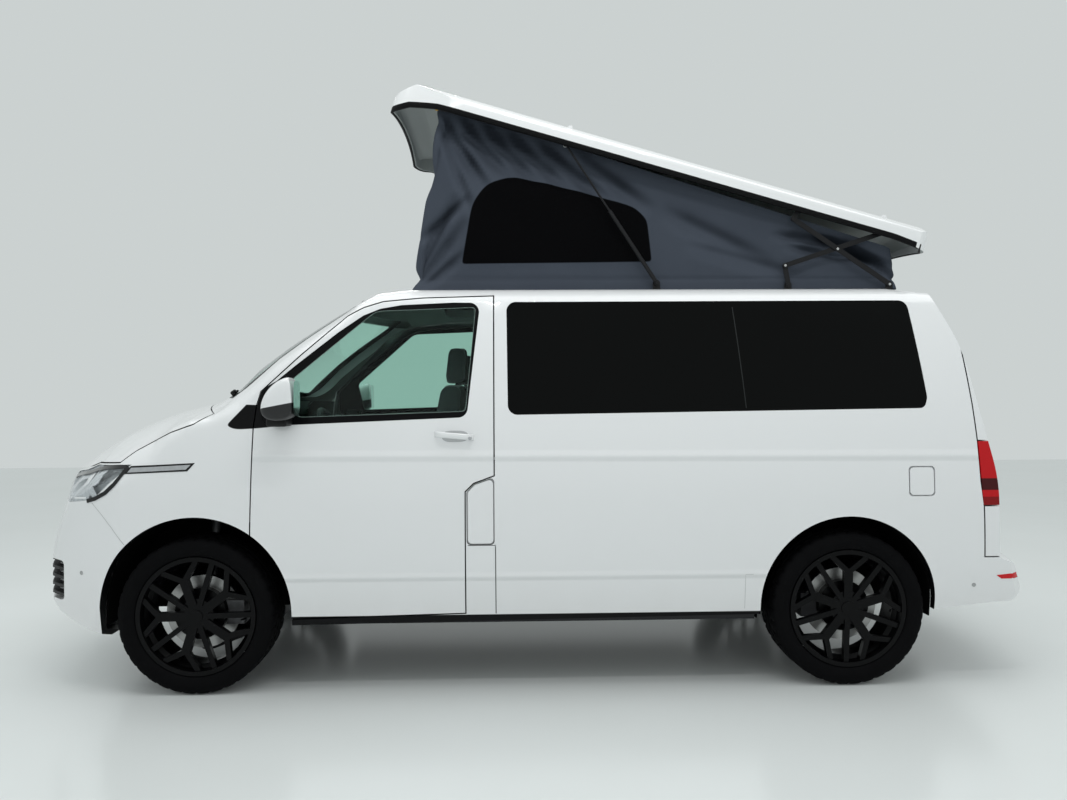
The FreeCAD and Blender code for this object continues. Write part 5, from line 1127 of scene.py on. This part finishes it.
# on both sides: maker, name, panels, and then
# for a ribbon its line, width, skin, lift and step
# for a plate its outline, lift, skin, depth, bevel and step
# for a sensor its x and z
ON_SIDES = (
    (ribbon, "lamp_lid", AROUND_LAMP, [(-2.290, 0.962), (-2.200, 0.986), (-2.100, 1.004), (-2.030, 1.024),
                                       (-1.950, 1.037), (-1.845, 1.043)], 0.016, LAMP_DARK, 0.0035),
    (ribbon, "lamp_edge", AROUND_LAMP, [(-1.838, 1.044), (-1.862, 1.010), (-1.895, 0.965), (-1.940, 0.925),
                                        (-1.995, 0.897), (-2.040, 0.885)], 0.018, LAMP_DARK, 0.0030),
    (ribbon, "joint_nose", AROUND_LAMP, [(-2.012, 0.879), (-1.960, 0.826), (-1.912, 0.770), (-1.850, 0.690)],
     0.0022, SEAM, 0.0005, 0.015),
    (side_plate, "lamp_bar", "headlamps",
     [(-2.078, 1.000), (-2.050, 1.002), (-2.082, 0.908), (-2.106, 0.908)],
     -0.010, LAMP_PALE, 0.001, 0.0002, 0.012),
    (ribbon, "lamp_post", "headlamps", [(-2.030, 1.025), (-2.062, 0.905)], 0.012, LAMP_DARK, -0.008),
    (ribbon, "lamp_sill", "headlamps", [(-2.150, 0.893), (-2.050, 0.898)], 0.008, LAMP_PALE, -0.006),
    (side_plate, "wing_strip", "front_wings",
     [(-1.856, 1.010), (-1.826, 1.046), (-1.533, 1.058), (-1.566, 1.021)],
     0.0016, ("gloss_black", "black_trim"), 0.002, 0.0004, 0.02),
    (side_plate, "wing_blank", "front_wings",
     [(-1.838, 1.017), (-1.822, 1.038), (-1.551, 1.050), (-1.573, 1.029)],
     0.0024, ("flat_silver", "black_trim"), 0.001, 0.0003, 0.02),
    (sensor, "sensor_front", "front_bumper", -2.075, 0.554),
    (sensor, "sensor_rear", "rear_bumper", 2.042, 0.461),
    (side_plate, "reflector", "rear_bumper",
     [(2.146, 0.506), (2.262, 0.518), (2.262, 0.490), (2.170, 0.489)], 0.0015, RED, 0.003, 0.0005, 0.015),
    (ribbon, "joint_jack", ("body_sides", "sliding_door"), [(0.973, 0.360), (0.973, 0.523), (1.010, 0.523)],
     0.0016, SEAM, 0.0003, 0.02))
# ribbons of the left side alone
ON_LEFT = (
    ("joint_post", "body_sides", [(-0.178, 0.352), (-0.178, 0.668)], 0.0042, DARK_SEAM, 0.0003),
    ("joint_step", "body_sides", [(-0.304, 0.672), (-0.176, 0.672)], 0.0032, DARK_SEAM, 0.0003),
    ("pane_divider", "side_glass", [(0.944, 1.798), (0.984, 1.290)], 0.0045, ("divider_black", "window_tint"),
     0.0005))
for name, side in SIDES:
    for make, part, *rest in ON_SIDES:
        make(part + "_" + name, *rest, side=side)
for strip in ON_LEFT:
    ribbon(*strip)

# --- nose, screen, roof and tail
# name, half width, half height, thickness, material
PLATE_PARTS = (("frame", 0.268, 0.061, 0.009, "black_plastic"),
               ("plate", 0.260, 0.055, 0.0105, "plate_white"))


def end_plate(name, finder, node, z, body, facing):
    """Blank number plate in a thin frame, stood just off the panel."""
    depth = [finder(node, y, z + dz)[0].x for y in (-0.25, 0.0, 0.25) for dz in (-0.05, 0.05)]
    x = min(depth) - 0.004 if facing < 0 else max(depth) + 0.004
    for kind, half, tall, thick, material in PLATE_PARTS:
        part = box_piece(name + "_" + kind, (x, x + facing * thick), (-half, half), (z - tall, z + tall),
                         (material, "black_trim"), body)
        add_bevel(part, 0.0035)
    box_piece(name + "_pad", (x - facing * 0.030, x), (-0.10, 0.10), (z - 0.035, z + 0.035), TRIM, body)


end_plate("number_front", front_hit, "front_bumper", 0.735, "van", -1)
end_plate("number_rear", rear_hit, "tailgate", 0.930, "tailgate", 1)


def wiper(name, node, finder, pivot, blade, body):
    """Arm from its pivot to the middle of a blade that lies along the glass; points are (y, z)."""
    def on_glass(point, lift):
        at, normal = finder(node, point[0], point[1])
        return at + normal * lift

    tube(name + "_blade", [on_glass(p, 0.009) for p in spaced(blade, 0.05)], 0.0055, TRIM, body)
    middle = ((blade[0][0] + blade[-1][0]) / 2, (blade[0][1] + blade[-1][1]) / 2)
    foot = (pivot[0], pivot[1] + 0.004)
    start, end = on_glass(foot, 0.012), on_glass(middle, 0.020)
    tube(name + "_arm", [start, start.lerp(end, 0.5) + Vector((0, 0, 0.004)), end], 0.007, TRIM, body)
    turned(name + "_pivot", start, finder(node, *foot)[1], [(-0.012, 0.016), (0.008, 0.016), (0.012, 0.011)],
           TRIM, body, 18)


wiper("wiper_left", "windscreen", front_hit, (-0.52, 1.362), [(-0.66, 1.378), (0.02, 1.366)], "van")
wiper("wiper_right", "windscreen", front_hit, (0.20, 1.362), [(0.08, 1.380), (0.68, 1.370)], "van")
wiper("wiper_rear", "tailgate_glass", rear_hit, (0.0, 1.255), [(-0.03, 1.275), (-0.40, 1.262)], "tailgate")

ANTENNA_X = -0.945
# lean backwards, height and radius of the antenna's rings
ANTENNA_RINGS = [(0.0, 0.0, 0.020), (0.002, 0.008, 0.018), (0.010, 0.030, 0.008), (0.020, 0.060, 0.006),
                 (0.022, 0.064, 0.003)]


def roof_antenna():
    at, _ = hit("roof_panel", (ANTENNA_X, 0.0, 3.0), (0, 0, -1))
    verts = [(at.x + lean + 1.5 * radius * c, radius * s, at.z - 0.002 + height)
             for lean, height, radius in ANTENNA_RINGS for c, s in circle(14)]
    rings = len(ANTENNA_RINGS)
    mesh_piece("roof_antenna", verts, ring_quads(rings, 14) + ring_ends(rings, 14)[1:], TRIM, "van")


roof_antenna()

# third brake light over the tail window, grip and its gap under it: name, height to look at the tailgate,
# reach into it and out of it, half width, heights, skin, bevel
for name, look_z, inner, outer, half, heights, skin, bevel in (
        ("brake_light_high", 1.800, 0.004, 0.006, 0.150, (1.788, 1.808), RED, (0.003, 2)),
        ("tailgate_grip", 1.075, 0.010, 0.012, 0.150, (1.058, 1.092), PAINTED, (0.008, 3)),
        ("tailgate_grip_gap", 1.075, 0.010, 0.009, 0.135, (1.048, 1.0595), TRIM, None)):
    face_x = max(rear_hit("tailgate", y, look_z)[0].x for y in (-0.1, 0.0, 0.1))
    made = box_piece(name, (face_x - inner, face_x + outer), (-half, half), heights, skin, "tailgate")
    if bevel:
        add_bevel(made, *bevel)


# --- raised roof: pins and strap
PIN_RADIUS, PIN_HIGH = 0.0062, 0.0020


def pin_head(name, x, z, y, body, proud=1.0):
    rings = [(-0.001, PIN_RADIUS), (0.6 * PIN_HIGH * proud, PIN_RADIUS), (PIN_HIGH * proud, 0.0040)]
    skin = ("bright_pin", "link_black")
    for end, side in SIDES:
        turned(name + "_" + end, (x, side * y, z), (0, side, 0), rings, skin, body, 16)


pin_head("pin_link_foot", 1.757, 1.888, 0.6900, "main_link")
pin_head("pin_link_cross", 1.5000, 2.0610, 0.6900, "main_link")
pin_head("pin_low_joint", 1.2440, 1.9820, 0.6822, "cross_link", 0.5)
for name, side in SIDES:
    box_piece("strap_" + name, (-0.462, -0.448), (side * 0.654, side * 0.660), (2.742, 2.772),
              ("strap_yellow", "black_trim"), "pop_roof", smooth=False)

# --- stage, light and camera
FLOOR_REACH = 12.0
# name, place, aim, size, watts, seen in mirrors
LIGHTS = (("overhead", (0.0, -0.6, 5.2), (0.0, 0.0, 0.0), (8.0, 3.4), 105.0, True),
          ("near_side", (0.5, -7.5, 3.0), (0.0, 0.0, 1.0), (7.0, 3.0), 40.0, False),
          ("nose_side", (-6.5, -3.0, 3.8), (-1.5, 0.0, 1.0), (3.0, 2.5), 28.0, False),
          ("tail_side", (6.5, -2.0, 3.8), (1.5, 0.0, 1.0), (3.0, 2.5), 28.0, False),
          ("tube_left", (0.3, -2.9, 4.4), (0.3, 0.0, 1.5), (2.2, 0.05), 26.0, True),
          ("tube_right", (-1.5, 2.6, 4.6), (-1.0, 0.0, 1.5), (2.2, 0.05), 20.0, True))
WORLD_COLOR = (0.83, 0.885, 0.88, 1.0)
WORLD_STRENGTH = 0.72
CAMERA_PLACE = (-0.1077, -4.9547, 1.3643)
CAMERA_YAW, CAMERA_PITCH, CAMERA_ROLL = 0.0267, -0.0078, -0.0062
CAMERA_LENS = 29.66


def stage_floor():
    b = Builder("studio_floor")
    b.set(Base_Color=b.blend(b.noise(0.8, 4.0), (0.78, 0.81, 0.81), (0.72, 0.75, 0.74)), Roughness=0.20)
    across = (-FLOOR_REACH, FLOOR_REACH)
    verts = box_verts(across, across, (-0.10, -0.0002))
    floor = add_object("studio_floor", plain_mesh("studio_floor", verts, BOX_FACES, "studio_floor"))


def make_world():
    world = bpy.data.worlds.new("studio_air")
    bpy.context.scene.world = world
    world.use_nodes = True
    back = world.node_tree.nodes["Background"]
    back.inputs[0].default_value = WORLD_COLOR
    back.inputs[1].default_value = WORLD_STRENGTH


def make_camera():
    data = bpy.data.cameras.new("camera")
    data.sensor_fit = "HORIZONTAL"
    data.sensor_width = 36.0
    data.lens = CAMERA_LENS
    data.clip_start = 0.05
    camera = add_object("camera", data)
    turn = Matrix.Rotation(-CAMERA_YAW, 4, "Z") @ Matrix.Rotation(math.pi / 2 + CAMERA_PITCH, 4, "X")
    camera.matrix_world = Matrix.Translation(CAMERA_PLACE) @ turn @ Matrix.Rotation(CAMERA_ROLL, 4, "Z")
    bpy.context.scene.camera = camera


def area_light(name, place, aim, size, power, mirrored):
    data = bpy.data.lights.new(name, "AREA")
    data.shape = "RECTANGLE"
    data.size, data.size_y = size
    data.energy = power
    light = add_object(name, data)
    light.location = place
    light.rotation_euler = (Vector(aim) - Vector(place)).to_track_quat("-Z", "Y").to_euler()
    light.visible_glossy = mirrored


stage_floor()
make_world()
make_camera()
for light in LIGHTS:
    area_light(*light)
bpy.context.scene.view_settings.view_transform = "Standard"
bpy.context.scene.view_settings.look = "None"
